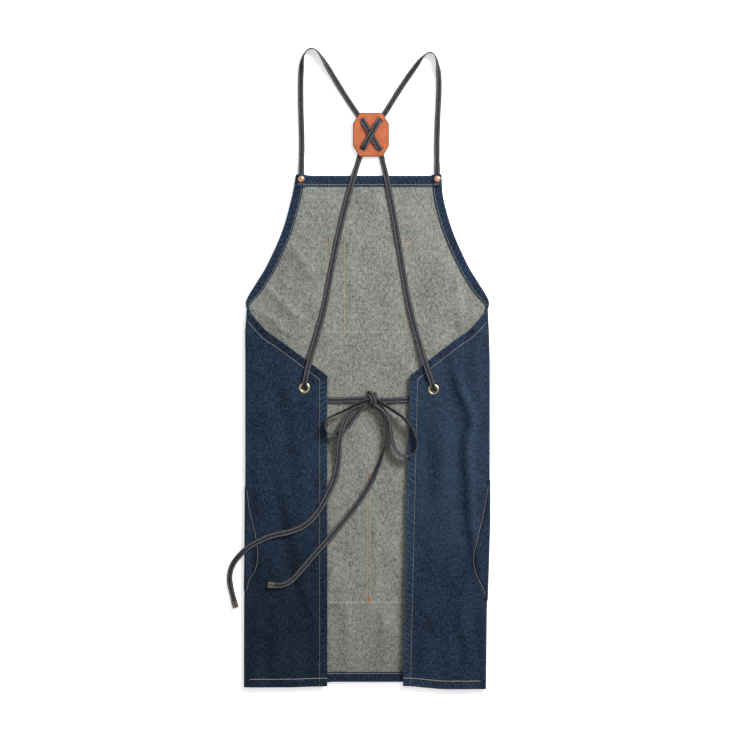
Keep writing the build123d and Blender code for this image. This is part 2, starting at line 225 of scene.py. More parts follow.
def grid_normals(centre, flip=False):
    along = np.gradient(centre, axis=1)
    up = np.gradient(centre, axis=0)
    normals = unit(np.cross(along, up))
    return -normals if flip else normals


RIM_ANGLES = np.radians((50, 0, -50))


def sheet_part(centre, uv, wear_and_shading, slots, flip=False, square=None):
    """A sheet of cloth round a grid of points: upper side, under side, and a rounded rim. Where
    another sheet goes on from this one the rim is flat: square gives, for the "start" or "end" of
    the rows, how many rows from the low end that is, or None for all. slots are the materials of
    the upper side, the under side and the rim."""
    square = square or {}
    rows, columns = centre.shape[:2]
    half = cloth / 2
    normals = grid_normals(centre, flip)
    index = np.arange(rows * columns).reshape(rows, columns)
    borders = {"low": index[0, :-1], "end": index[:-1, -1],
               "high": index[-1, :0:-1], "start": index[:0:-1, 0]}
    ring = np.concatenate(list(borders.values()))
    flat, flat_normals = centre.reshape(-1, 3), normals.reshape(-1, 3)
    tangent = unit(np.roll(flat[ring], -1, axis=0) - np.roll(flat[ring], 1, axis=0))
    outward = np.cross(tangent, flat_normals[ring])
    if flip:
        outward = -outward
    keep = np.ones(len(ring))
    for name, low_rows in square.items():
        column = index[:low_rows, 0 if name == "start" else -1]
        keep[np.isin(ring, column)] = 0
    points = [flat + flat_normals * half, flat - flat_normals * half]
    count = rows * columns
    for angle in RIM_ANGLES:
        points.append(flat[ring] + outward * (half * math.cos(angle) * keep[:, None])
                      + flat_normals[ring] * half * math.sin(angle))
    faces = grid_faces(rows, columns, 0, flip) + grid_faces(rows, columns, count, not flip)
    kinds = [slots[0]] * (len(faces) // 2) + [slots[1]] * (len(faces) // 2)
    loops = [2 * count + k * len(ring) + np.arange(len(ring)) for k in range(len(RIM_ANGLES))]
    loops = [ring, *loops, ring + count]
    for upper, lower in zip(loops, loops[1:]):
        quads = np.stack([upper, lower, np.roll(lower, -1), np.roll(upper, -1)], axis=1)
        faces += (quads[:, ::-1] if flip else quads).tolist()
        kinds += [slots[2]] * len(quads)
    flat_uv = uv.reshape(-1, 2)
    flat_wear = np.broadcast_to(wear_and_shading, (rows, columns)).reshape(-1)
    all_uv = np.vstack([flat_uv, flat_uv] + [flat_uv[ring]] * len(RIM_ANGLES))
    all_wear = np.concatenate([flat_wear, flat_wear] + [flat_wear[ring]] * len(RIM_ANGLES))
    return np.vstack(points), faces, all_uv, all_wear, kinds


STITCH_SIDES = 6
STITCH_RINGS = ((-1.0, 0.35), (0.0, 1.0), (1.0, 0.35))


def stitch_part(line, normals, slot, pitch=0.0032, length=0.0028, radius=0.00048):
    """Thread stitches laid end to end along a line on the cloth, flattened and sunk into it."""
    total = lengths_along(line)[-1]
    count = max(1, int(total / pitch))
    places = (np.arange(count) + 0.5) * total / count
    at = sampled(line, line, places)
    tangent = unit(sampled(line, line, places + length / 3)
                   - sampled(line, line, places - length / 3))
    up = unit(sampled(line, normals, places))
    side = unit(np.cross(up, tangent))
    turn = np.arange(STITCH_SIDES) * 2 * math.pi / STITCH_SIDES
    points = []
    for reach, swell in STITCH_RINGS:
        for angle in turn:
            points.append(at + tangent * (reach * length / 2)
                          + side * (swell * radius * math.cos(angle))
                          + up * (radius * (swell * 0.8 * math.sin(angle) - 0.1)))
    points = np.stack(points, axis=1).reshape(-1, 3)
    each = len(STITCH_RINGS) * STITCH_SIDES
    one = []
    for ring in range(len(STITCH_RINGS) - 1):
        for k in range(STITCH_SIDES):
            a, b = ring * STITCH_SIDES + k, ring * STITCH_SIDES + (k + 1) % STITCH_SIDES
            one.append([a, b, b + STITCH_SIDES, a + STITCH_SIDES])
    one.append(list(range(STITCH_SIDES))[::-1])
    one.append([each - STITCH_SIDES + k for k in range(STITCH_SIDES)])
    faces = [[v + i * each for v in face] for i in range(count) for face in one]
    uv = np.tile(np.array([(reach * length / 2, angle * radius)
                           for reach, _ in STITCH_RINGS for angle in turn]), (count, 1))
    return points, faces, uv, 0.0, slot


LATHE_SIDES = 48


def turned_piece(name, profile, centre, material, closed=False):
    """A turned piece. profile is (radius, height) with the material on its right: from the middle
    of the top outwards and back under, or once round a ring if closed."""
    spots = np.arange(LATHE_SIDES)
    ahead = (spots + 1) % LATHE_SIDES
    turn = spots * 2 * math.pi / LATHE_SIDES
    rings = [np.stack([r * np.cos(turn), r * np.sin(turn), np.full(LATHE_SIDES, z)], axis=1)
             for r, z in profile]
    points = np.vstack(rings) + np.array((centre.x, centre.y, 0))
    faces = []
    for k in range(len(profile) if closed else len(profile) - 1):
        a, b = k * LATHE_SIDES, (k + 1) % len(profile) * LATHE_SIDES
        faces += np.stack([a + spots, b + spots, b + ahead, a + ahead], axis=1).tolist()
    return make_piece(name, [(points, faces, points[:, :2], 0.0, 0)], [material])


# ---- Materials ---------------------------------------------------------------------------------
def colour(red, green, blue):
    """A shade given as it looks on screen, 0 to 255, as linear light."""
    levels = [c / 255 for c in (red, green, blue)]
    light = [c / 12.92 if c <= 0.04045 else ((c + 0.055) / 1.055) ** 2.4 for c in levels]
    return (*light, 1.0)


class Nodes:
    """Short names for the nodes that the materials are made of."""

    def __init__(self, name):
        self.material = bpy.data.materials.new(name)
        self.material.use_nodes = True
        self.tree = self.material.node_tree
        self.shader = self.tree.nodes["Principled BSDF"]

    def add(self, kind, inputs=None, **settings):
        node = self.tree.nodes.new(kind)
        for key, value in settings.items():
            setattr(node, key, value)
        for key, value in (inputs or {}).items():
            if isinstance(value, bpy.types.NodeSocket):
                self.tree.links.new(value, node.inputs[key])
            else:
                node.inputs[key].default_value = value
        return node

    def place(self, scale=(1, 1, 1), turn=0.0):
        """The cloth's own metres, stretched and turned."""
        uv = self.add("ShaderNodeUVMap", uv_map="weave")
        mapped = self.add("ShaderNodeMapping", {"Vector": uv.outputs["UV"], "Scale": scale,
                                                "Rotation": (0, 0, turn)})
        return mapped.outputs["Vector"]

    def noise(self, scale, stretch=(1, 1, 1), detail=2.0, roughness=0.5):
        node = self.add("ShaderNodeTexNoise", {"Vector": self.place(stretch), "Scale": scale,
                                               "Detail": detail, "Roughness": roughness})
        return node.outputs["Fac"]

    def bands(self, period, turn=0.0, distortion=0.0):
        """Parallel ribs, one in each period of the cloth."""
        node = self.add("ShaderNodeTexWave",
                        {"Vector": self.place((1, 1, 1), turn), "Scale": math.pi / (10 * period),
                         "Distortion": distortion, "Detail": 1.0, "Detail Scale": 2.0})
        return node.outputs["Fac"]

    def spread(self, value, low, high, to_low=0.0, to_high=1.0):
        node = self.add("ShaderNodeMapRange", {"Value": value, "From Min": low, "From Max": high,
                                               "To Min": to_low, "To Max": to_high})
        return node.outputs["Result"]

    def math(self, operation, first, second):
        node = self.add("ShaderNodeMath", {0: first, 1: second}, operation=operation)
        return node.outputs["Value"]

    def mix(self, factor, first, second, blend="MIX"):
        node = self.add("ShaderNodeMix", data_type="RGBA", blend_type=blend)
        for socket, value in ((node.inputs[0], factor), (node.inputs[6], first),
                              (node.inputs[7], second)):
            if isinstance(value, bpy.types.NodeSocket):
                self.tree.links.new(value, socket)
            else:
                socket.default_value = value
        return node.outputs[2]

    def wear_and_shading(self):
        return self.add("ShaderNodeAttribute", attribute_name="wear_and_shading").outputs["Fac"]

    def finish(self, base, height, depth, **constants):
        """Joins colour and relief to the shader. depth is the relief's height in metres."""
        self.tree.links.new(base, self.shader.inputs["Base Color"])
        bump = self.add("ShaderNodeBump", {"Height": height, "Strength": 1.0, "Distance": depth})
        self.tree.links.new(bump.outputs["Normal"], self.shader.inputs["Normal"])
        for name, value in constants.items():
            self.shader.inputs[name.replace("_", " ")].default_value = value
        return self.material


RIB = 0.0009           # spacing of the twill's diagonal ribs
YARN = 0.00055         # spacing of single yarns


def denim(name, dark, light, pale, balance, grain, tint):
    """Twill in two shades. balance is the share of the light yarn, grain how far single yarns differ,
    pale what rubbed places and painted highlights turn to, and tint what broad patches lean to. Where the
    per-point value is negative the cloth is darker instead: painted shade."""
    n = Nodes(name)
    ribs = n.bands(RIB, math.radians(62), 1.2)
    yarns = n.bands(YARN, 0.0, 0.6)
    slub = n.noise(460, (1, 0.45, 1), 3.0, 0.7)
    fleck = n.noise(820, (1, 0.7, 1), 2.0, 0.6)
    blotch = n.noise(190, (1, 0.6, 1), 3.0, 0.65)
    cloud = n.noise(24, (1, 0.6, 1), 4.0, 0.6)
    weave = n.math("ADD", n.math("MULTIPLY", ribs, 0.30), n.math("MULTIPLY", yarns, 0.12))
    tone = weave
    for noise, low, high, amount in ((slub, 0.36, 0.64, grain), (fleck, 0.36, 0.64, grain),
                                     (blotch, 0.3, 0.7, 0.19), (cloud, 0.3, 0.7, 0.12)):
        tone = n.math("ADD", tone, n.spread(noise, low, high, -amount, amount))
    share = n.spread(tone, 0.21 - balance, 1.21 - balance)
    base = n.mix(share, dark, light)
    patches = n.spread(n.noise(48, (1, 0.5, 1), 4.0, 0.6), 0.45, 0.75, 0.0, 0.3)
    base = n.mix(patches, base, tint, "MULTIPLY")
    # Positive values turn it pale: rubbed places, and painted highlights on fold ridges and the right
    # wing
    rubbed = n.math("MULTIPLY", n.spread(n.wear_and_shading(), 0, 1), n.spread(slub, 0.3, 0.7, 0.3, 1.0))
    base = n.mix(rubbed, base, pale)
    # Negative values darken it: painted shade, and the darker hem bands
    base = n.mix(1.0, base, n.spread(n.wear_and_shading(), -1, 0, 0.45, 1.0), "MULTIPLY")
    relief = n.math("ADD", weave, n.math("MULTIPLY", slub, 0.5))
    return n.finish(base, relief, 0.00035, Roughness=0.95, Specular_IOR_Level=0.08)


def thread(name, dark, light):
    """Twisted sewing thread."""
    n = Nodes(name)
    twist = n.bands(0.0006, math.radians(35))
    base = n.mix(n.spread(n.noise(500), 0.3, 0.7), dark, light)
    return n.finish(base, twist, 0.00008, Roughness=0.8, Specular_IOR_Level=0.2)


def metal(name, dark, light, roughness):
    n = Nodes(name)
    rub = n.noise(900, (1, 0.15, 1), 3.0)
    cloud = n.noise(160, (1, 1, 1), 3.0)
    base = n.mix(n.spread(cloud, 0.3, 0.7), dark, light)
    n.tree.links.new(n.spread(rub, 0.3, 0.7, roughness * 0.7, roughness * 1.4),
                     n.shader.inputs["Roughness"])
    return n.finish(base, rub, 0.00002, Metallic=1.0)


def leather(name, dark, light, edge):
    """Vegetable-tanned hide: fine pores, cloudy dye, darker burnished edges."""
    n = Nodes(name)
    cloud = n.noise(75, (1, 0.7, 1), 4.0, 0.6)
    fine = n.noise(420, (1, 1, 1), 3.0, 0.6)
    pores = n.add("ShaderNodeTexVoronoi", {"Vector": n.place(), "Scale": 900.0})
    grain = n.add("ShaderNodeTexVoronoi", {"Vector": n.place(), "Scale": 380.0},
                  feature="DISTANCE_TO_EDGE")
    tone = n.math("ADD", n.spread(cloud, 0.3, 0.7, 0.0, 0.7), n.spread(fine, 0.3, 0.7, 0.0, 0.3))
    base = n.mix(tone, dark, light)
    base = n.mix(n.wear_and_shading(), base, edge)
    relief = n.math("ADD", n.spread(grain.outputs["Distance"], 0.0, 0.12),
                    n.math("MULTIPLY", pores.outputs["Distance"], 0.4))
    n.tree.links.new(n.spread(fine, 0.3, 0.7, 0.42, 0.6), n.shader.inputs["Roughness"])
    return n.finish(base, relief, 0.00006, Specular_IOR_Level=0.4)


denim_out = denim("denim_outside", colour(9, 14, 26), colour(47, 63, 83), colour(68, 86, 108),
                  0.46, 0.38, colour(190, 225, 225))
denim_in = denim("denim_inside", colour(62, 65, 63), colour(155, 157, 149), colour(118, 120, 115),
                 0.5, 0.25, colour(214, 216, 208))
strap_cloth = denim("strap_denim", colour(16, 17, 21), colour(56, 56, 61), colour(104, 103, 105),
                    0.5, 0.42, colour(225, 220, 225))
denim_tip = denim("strap_ends", colour(36, 32, 30), colour(104, 98, 92), colour(120, 116, 112),
                  0.5, 0.35, colour(225, 215, 205))
tan_thread = thread("tan_thread", colour(138, 128, 116), colour(176, 166, 154))
cream_thread = thread("cream_thread", colour(172, 164, 140), colour(202, 194, 170))
orange_thread = thread("orange_thread", colour(166, 130, 94), colour(198, 162, 122))
red_thread = thread("red_thread", colour(136, 96, 74), colour(164, 122, 96))
grey_thread = thread("grey_thread", colour(100, 99, 104), colour(150, 148, 150))
hide = leather("leather", colour(152, 74, 40), colour(182, 100, 60), colour(104, 50, 30))
copper = metal("copper", colour(216, 142, 106), colour(246, 188, 152), 0.40)
brass = metal("brass", colour(168, 152, 116), colour(206, 194, 160), 0.34)

# ---- Straps: routes of centre lines, (x, y, z, lean) with the lean in degrees ------------------
strap_routes = {
    "left_shoulder": [
        (-.112, .4173, .0031, 0), (-.1119, .444, .0026, 0), (-.1105, .490, .0011, 0),
        (-.1125, .540, .0011, 0), (-.1129, .586, .0011, 0), (-.112, .616, .0029, 20),
        (-.109, .635, .0053, 78), (-.104, .645, .0050, 84), (-.095, .650, .0050, 84),
        (-.085, .6455, .0050, 84), (-.077, .634, .0052, 66), (-.064, .612, .0020, 10),
        (-.0446, .5794, .0011, 0), (-.0244, .5486, .0011, 0), (-.0125, .5315, .0012, 0),
        (-.0082, .5268, .0046, 0), (-.0048, .5218, .0062, 0), (.006, .503, .0059, 0),
        (.0168, .4842, .0062, 0), (.0202, .4792, .0046, 0), (.0228, .4735, .0012, 0),
        (.0256, .458, .0011, 0)],
    "right_shoulder": [
        (.118, .4173, .0031, 0), (.1176, .444, .0026, 0), (.1172, .490, .0011, 0),
        (.119, .540, .0011, 0), (.1212, .580, .0011, 0), (.1206, .605, .0020, -10),
        (.1185, .622, .0052, -66), (.1165, .633, .0048, -80), (.1105, .6415, .0050, -84),
        (.1015, .642, .0050, -84), (.093, .6345, .0053, -76), (.082, .6195, .0029, -20),
        (.066, .597, .0011, 0), (.049, .5715, .0011, 0), (.0354, .5486, .0011, 0),
        (.0240, .5315, .0012, 0), (.0198, .5268, .0052, 0), (.0166, .5218, .0082, 0),
        (.006, .503, .0086, 0), (-.0046, .4842, .0082, 0), (-.0082, .4792, .0052, 0),
        (-.0112, .4735, .0012, 0), (-.0154, .458, .0011, 0)],
    "left_back": [
        (-.0154, .458, .0011, 0), (-.023, .434, .0036, 0), (-.036, .386, .0036, 0),
        (-.0485, .336, .0034, 0), (-.061, .275, .0034, 0), (-.073, .207, .0034, 0),
        (-.088, .155, .0044, 0), (-.099, .116, .0079, 0), (-.1045, .091, .0086, 0),
        (-.1062, .0795, .0076, 0), (-.1066, .0750, .0032, 0)],
    "right_back": [
        (.0256, .458, .0011, 0), (.0315, .434, .0036, 0), (.041, .386, .0036, 0),
        (.050, .336, .0034, 0), (.0595, .275, .0034, 0), (.0685, .222, .0034, 0),
        (.0835, .163, .0040, 0), (.097, .118, .0079, 0), (.1085, .0855, .0087, 0),
        (.1110, .0765, .0076, 0), (.1116, .0722, .0032, 0)],
    "left_tie": [
        (-.1065, .0755, .0034, 0), (-.091, .060, .0034, 0), (-.0695, .0542, .0034, 0),
        (-.034, .055, .0034, 0), (.004, .0572, .0046, 0)],
    "right_tie": [
        (.1115, .0725, .0034, 0), (.095, .060, .0034, 0), (.074, .0562, .0034, 0),
        (.043, .0545, .0034, 0), (.011, .0535, .0046, 0)],
    "left_loop": [
        (.004, .055, .0085, 30), (-.016, .050, .0090, 56), (-.036, .0385, .0098, 68),
        (-.056, .0300, .0114, 74), (-.0695, .0230, .0118, 84), (-.0722, .010, .0118, 86),
        (-.066, -.0025, .0114, 80), (-.052, -.0050, .0098, 62), (-.0385, .004, .0076, 30),
        (-.026, .022, .0066, 6), (-.011, .042, .0068, 6), (.004, .052, .0068, 10)],
    "right_loop": [
        (.011, .056, .0085, -30), (.026, .049, .0092, -60), (.045, .036, .0100, -66),
        (.062, .025, .0116, -68), (.076, .006, .0126, -78), (.0845, -.017, .0126, -82),
        (.080, -.034, .0124, -78), (.067, -.0415, .0112, -72), (.054, -.037, .0104, -58),
        (.0435, -.022, .0100, -52), (.0405, .002, .0098, -54), (.0375, .022, .0098, -62),
        (.027, .040, .0092, -56), (.011, .050, .0085, -30)],
    "left_tail": [
        (.001, .046, .0062, 20), (-.017, .0425, .0068, 28), (-.032, .033, .0112, 34),
        (-.0405, .015, .0128, 38), (-.0472, -.010, .0118, 34), (-.0485, -.045, .0044, 16),
        (-.0535, -.076, .0040, 0), (-.066, -.103, .0078, 0), (-.082, -.133, .0080, 0),
        (-.101, -.155, .0085, 0), (-.128, -.1675, .0087, 0), (-.158, -.1725, .0092, 0),
        (-.186, -.184, .0090, 0), (-.209, -.199, .0076, 0), (-.228, -.221, .0014, 0),
        (-.2345, -.245, .0011, 0), (-.229, -.272, .0016, 0), (-.2225, -.296, .0019, 0)],
    "right_tail": [
        (.011, .0465, .0062, -30), (.0225, .039, .0078, -66), (.0305, .022, .0082, -84),
        (.0335, 0, .0082, -86), (.0295, -.028, .0074, -84), (.018, -.056, .0058, -50),
        (.004, -.088, .0034, 0), (-.016, -.119, .0034, 0), (-.042, -.152, .0040, 0),
        (-.068, -.1825, .0078, 0), (-.093, -.210, .0083, 0), (-.114, -.235, .0086, 0),
        (-.131, -.253, .0086, 0), (-.150, -.2595, .0088, 0), (-.168, -.256, .0090, 0)],
}

# Half of a strap's section, across (share of the half width) and up (share of half thickness),
# with how rubbed it is there: round edge, stitched channel, ridge, valley over the folded edges
# The round outer edge is lighter partly from rubbing and partly as a painted highlight
STRAP_SECTION = (
    (1.0, 0.0, 1.0), (0.975, 0.55, 0.5), (0.89, 0.92, 0.1), (0.76, 0.96, 0.9), (0.64, 0.74, 0.8),
    (0.52, 0.84, 1.0), (0.36, 0.98, 0.5), (0.16, 0.86, 0.1), (0.0, 0.58, 0.0))
STRAP_STEP = 0.0016
STRAP_STITCH_OUT = 0.66 * strap_width / 2      # of each row from the middle line


class Strap:
    """A flat strap's centre line with its sideways and upward directions at even steps."""

    def __init__(self, route, step):
        self.line = spline_points([p[:3] for p in route])
        leans = spline_points([(p[3] / 1000, 0, 0) for p in route])[:, 0] * 1000
        total = lengths_along(self.line)[-1]
        self.count = int(total / step) + 1
        self.places = np.linspace(0, total, self.count)
        self.centre = sampled(self.line, self.line, self.places)
        lean = np.radians(sampled(self.line, leans[:, None], self.places)[:, 0])
        tangent = unit(np.gradient(self.centre, axis=0))
        level = unit(np.cross(tangent, UP))
        upright = np.cross(level, tangent)
        self.across = level * np.cos(lean)[:, None] + upright * np.sin(lean)[:, None]
        self.up = np.cross(self.across, tangent)

    def cut(self, low, high):
        """Numbers of the steps whose share of the length is between low and high."""
        return slice(int(round(low * (self.count - 1))), int(round(high * (self.count - 1))) + 1)

    def share_where(self, reached):
        """Share of the length at the first step for which reached(x, y, z) is true."""
        return int(np.argmax(reached(*self.centre.T))) / (self.count - 1)


def strap_part(strap, steps, width=strap_width, thickness=strap_thickness, slot=0):
    """The cloth of a strap over some of its steps."""
    half = list(STRAP_SECTION)
    top = half + [(-a, b, rubbed) for a, b, rubbed in half[-2::-1]]
    ring = top + [(a, -b, rubbed) for a, b, rubbed in top[-2:0:-1]]
    centre, across, up = strap.centre[steps], strap.across[steps], strap.up[steps]
    places = strap.places[steps]
    wobble = 1 + 0.03 * ripples(places, places * 0, 0.03, 7)
    lumps = 1 + 0.05 * np.sin(2 * math.pi * places / 0.0031)
    points = []
    for a, b, _ in ring:
        points.append(centre + across * (a * width / 2 * wobble)[:, None]
                      + up * (b * thickness / 2 * lumps)[:, None])
    points = np.stack(points, axis=1)
    count, around = points.shape[:2]
    index = np.arange(count * around).reshape(count, around)
    ahead = np.roll(index, -1, axis=1)
    faces = np.stack([index[:-1], index[1:], ahead[1:], ahead[:-1]], axis=-1)
    faces = faces.reshape(-1, 4).tolist() + [index[0].tolist(), index[-1, ::-1].tolist()]
    girth = np.array([a * width / 2 for a, _, _ in ring])
    uv = joined(girth[None, :], places[:, None]).reshape(-1, 2)
    wear_and_shading = np.tile([rubbed for _, _, rubbed in ring], count) * 0.55
    return points.reshape(-1, 3), faces, uv, wear_and_shading, slot


def strap_stitches(strap, steps):
    """Both rows of stitching on both faces of a strap."""
    centre, across, up = strap.centre[steps], strap.across[steps], strap.up[steps]
    parts = []
    for side in (-1, 1):
        for face in (-1, 1):
            line = (centre + across * (side * STRAP_STITCH_OUT)
                    + up * (face * 0.74 * strap_thickness / 2))
            parts.append(stitch_part(line, up * face, 1, 0.0031, 0.0025, 0.0004))
    return parts


TIP_LENGTH = 0.013


def tip_parts(strap):
    """A free end, folded back on itself and stitched across."""
    count = int(TIP_LENGTH / STRAP_STEP)
    steps = slice(strap.count - count, strap.count)
    parts = [strap_part(strap, steps, strap_width * 1.08, strap_thickness * 1.55, 2)]
    for back in (1, count - 2):
        row = strap.count - 1 - back
        reach = strap.across[row] * strap_width * 0.42
        line = strap.centre[row] + reach * np.linspace(-1, 1, 8)[:, None]
        for face in (-1, 1):
            up = np.broadcast_to(strap.up[row] * face, line.shape)
            parts.append(stitch_part(line + up * strap_thickness * 0.70, up, 1))
    return parts


def strap_piece(name, nodes, strap, low=0.0, high=1.0, tip=False):
    """A strap, or a share of it, in place of CAD nodes; tip is for a strap that ends free."""
    steps = strap.cut(low, high)
    parts = [strap_part(strap, steps), *strap_stitches(strap, steps), *(tip_parts(strap) if tip else ())]
    piece = make_piece(name, parts, [strap_cloth, grey_thread, denim_tip], 70)
    if nodes:
        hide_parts(*nodes)
    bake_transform(piece)


straps = {name: Strap(route, STRAP_STEP) for name, route in strap_routes.items()}
for side, sign in SIDES:
    # From the rivet, up and over, down to the keeper and across its face
    strap_piece(f"{side}_shoulder_strap_cloth", [f"{side}_shoulder_strap", f"{side}_strap_crossing"],
                straps[f"{side}_shoulder"])

    # From the keeper down the inside of the bib, and over the wing to the eyelet
    back = straps[f"{side}_back"]
    split = back.share_where(lambda x, y, z: y < 0.300)
    strap_piece(f"{side}_back_strap_upper", [f"{side}_back_strap"], back,
                high=split)
    strap_piece(f"{side}_back_strap_lower", [], back,
                low=split)

    # From the eyelet under the wing to the knot, and the bow's loop
    strap_piece(f"{side}_tie_cloth", [f"{side}_tie_lead", f"{side}_tie"], straps[f"{side}_tie"])
    strap_piece(f"{side}_bow_loop_cloth", [f"{side}_bow_loop"], straps[f"{side}_loop"])

# Both tails lie over the left wing, and the left one goes on past it down to the table
tail = straps["left_tail"]
over_wing = tail.share_where(lambda x, y, z: x < -0.135)
strap_piece("left_tie_tail_near", ["left_tie_tail"], tail,
            high=over_wing)
strap_piece("left_tie_tail_far", [], tail,
            low=over_wing, tip=True)
strap_piece("right_tie_tail_cloth", ["right_tie_tail"], straps["right_tail"],
            tip=True)

# ---- Knot of the bow: three turns of strap round the bundle ------------------------------------
KNOT_STEP = 0.0008
knot_turns = (
    [(-.003, .0560, .0062, 0), (.003, .0572, .0080, 0), (.010, .0560, .0082, 0),
     (.017, .0548, .0060, 0)],
    [(.0020, .0655, .0032, 0), (.0028, .0668, .0070, 0), (.0062, .0640, .0112, 0),
     (.0100, .0565, .0124, 0), (.0098, .0490, .0112, 0), (.0075, .0445, .0072, 0),
     (.0066, .0440, .0034, 0)],
    [(.0110, .0650, .0036, 0), (.0118, .0648, .0070, 0), (.0128, .0600, .0096, 0),
     (.0126, .0530, .0096, 0), (.0112, .0472, .0066, 0), (.0108, .0468, .0036, 0)],
)
knot_parts = []
for route in knot_turns:
    turn = Strap(route, KNOT_STEP)
    knot_parts.append(strap_part(turn, slice(None)))
    knot_parts += strap_stitches(turn, slice(None))
knot = make_piece("bow_knot_cloth", knot_parts, [strap_cloth, grey_thread], 70)
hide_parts("bow_knot")
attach(knot, "root")

# ---- Cloth: outlines ---------------------------------------------------------------------------
bib_shift = 0.002                  # the bib lies this far to the right of the middle
bib_half = 0.1225
armhole = ((.1285, .393), (.144, .339), (.168, .285), (.184, .258), (.1995, .233), (.2050, .2205),
           (.2040, .2095))
wing_corner = {"left": (-.0683, .0955), "right": (.0722, .0962)}
wing_foot = {"left": (-.0683, -.4280), "right": (.0602, -.4275)}
wing_armhole = {
    "left": ((-.1868, .1887), (-.1689, .1698), (-.1452, .1532), (-.1275, .1402), (-.1036, .1222),
             (-.0800, .1045)),
    "right": ((.1868, .1887), (.1690, .1705), (.1460, .1545), (.1285, .1412), (.1046, .1225),
              (.0830, .1045)),
}
# How far out each side fold lies, (y, x) from the hem up
fold_bulge = {
    "left": ((-.432, .2088), (-.290, .2085), (-.200, .2070), (-.050, .2064), (.120, .2064),
             (.170, .2068), (.195, .2048), (.210, .2042)),
    "right": ((-.432, .2003), (-.300, .2018), (-.230, .2042), (-.150, .2066), (.120, .2068),
              (.170, .2054), (.195, .2040), (.210, .2036)),
}
wing_hem_y = {"left": -.4297, "right": -.4328}         # at the side fold
front_hem_middle, front_hem_side = -.4208, -.4300
pocket_edge = {
    "left": ((-.2062, -.092), (-.2015, -.130), (-.1914, -.174), (-.1872, -.208), (-.1925, -.2335),
             (-.2010, -.246), (-.2062, -.266)),
    "right": ((.2075, -.080), (.2000, -.128), (.1870, -.183), (.1812, -.209), (.1850, -.236),
              (.1965, -.260), (.2045, -.283)),
}
pen_slot_x = -0.039
double_seam_x = (-0.0004, 0.0048)
top_hem_width = 0.0162
seam_inset = 0.0124                # of the topstitching from a wing's edges
pucker_pitch = 0.0087
# How far a wing's inner edge lifts off the front, (y, lift) from the hem up
edge_lift = {
    "left": ((-.432, .0), (-.380, .0003), (.100, .0003)),
    "right": ((-.432, .0), (-.385, .0030), (-.120, .0034), (-.045, .0016), (.100, .0016)),
}
wing_painted_shading = {"left": (0.03, 0.62), "right": (-0.16, 0.06)}      # painted shading at the top, at the hem: above zero painted shade, below zero painted light
# How much darker each wing's top hem band is than the rest
top_hem_darkening = {"left": 0.57, "right": 0.32}
grommet_barrel = 0.0063            # radius of the hole in the cloth
punch_reach = 0.0092               # radius up to which the cloth is pushed outwards


def fold_at(side, y):
    """Distance of a side fold's outer face from the middle line."""
    ys, xs = np.array(fold_bulge[side]).T
    return np.interp(y, ys, xs)


def hinge_at(side, sign, y):
    """x of the line where a side fold begins to turn up from the front panel."""
    return sign * (fold_at(side, y) - fold_reach)


armhole_line = {side: smooth_line([(bib_shift + sign * bib_half, top_y),
                                   *((sign * x, y) for x, y in armhole)], 150)
                for side, sign in SIDES}


def panel_edge(side, sign, y):
    """x of the front panel's edge: the armhole above, the side fold's hinge line below."""
    line = armhole_line[side][::-1]
    above = np.interp(y, line[:, 1], line[:, 0])
    share = smoothstep(fold_top_y, fold_top_y + 0.004, y)
    return above * share + hinge_at(side, sign, y) * (1 - share)


def corner_peak(x):
    """How far the bib's top edge rises, most round each strap root."""
    rise = 0.0016
    for side, sign in SIDES:
        away = (x - rivet_at[side].x - sign * 0.001) / 0.009
        rise = rise + 0.0032 * np.exp(-away ** 2)
    return rise


def panel_y(x, y):
    """y of the point of the plain outline at (x, y), with the corners peaked and the hem shorter."""
    top = smoothstep(top_y - 0.022, top_y, y) * corner_peak(x)
    hem_rise = np.interp(abs(x), (0.06, 0.15), (front_hem_middle, front_hem_side)) - hem_y
    return y + top + hem_rise * smoothstep(hem_y + 0.06, hem_y, y)


# Soft folds left in the cloth by its handling: places from the low end up, half width, height
panel_folds = (
    (((-.114, .189), (-.146, .222), (-.178, .254)), .0085, .0022),
    (((-.092, .262), (-.112, .292), (-.128, .320)), .0100, .0018),
    (((-.104, .250), (-.124, .280), (-.140, .308)), .0090, -.0010),
    (((-.134, .165), (-.160, .190), (-.190, .212)), .0090, .0018),
    (((.157, .178), (.154, .225), (.150, .272)), .0070, .0018),
    (((.0145, -.290), (.0135, -.200), (.0120, -.112)), .0060, .0014),
    (((-.026, .180), (-.028, .250), (-.031, .330)), .0060, .0008),
    (((-.032, -.400), (-.034, -.350), (-.034, -.300)), .0080, .0012),
    (((-.044, -.405), (-.046, -.350), (-.046, -.290)), .0080, -.0010),
    (((.029, -.402), (.028, -.350), (.026, -.300)), .0080, .0012),
    (((.018, -.402), (.018, -.350), (.016, -.300)), .0070, -.0009),
    (((.060, .125), (.030, .118), (-.005, .150)), .0180, .0008),
)
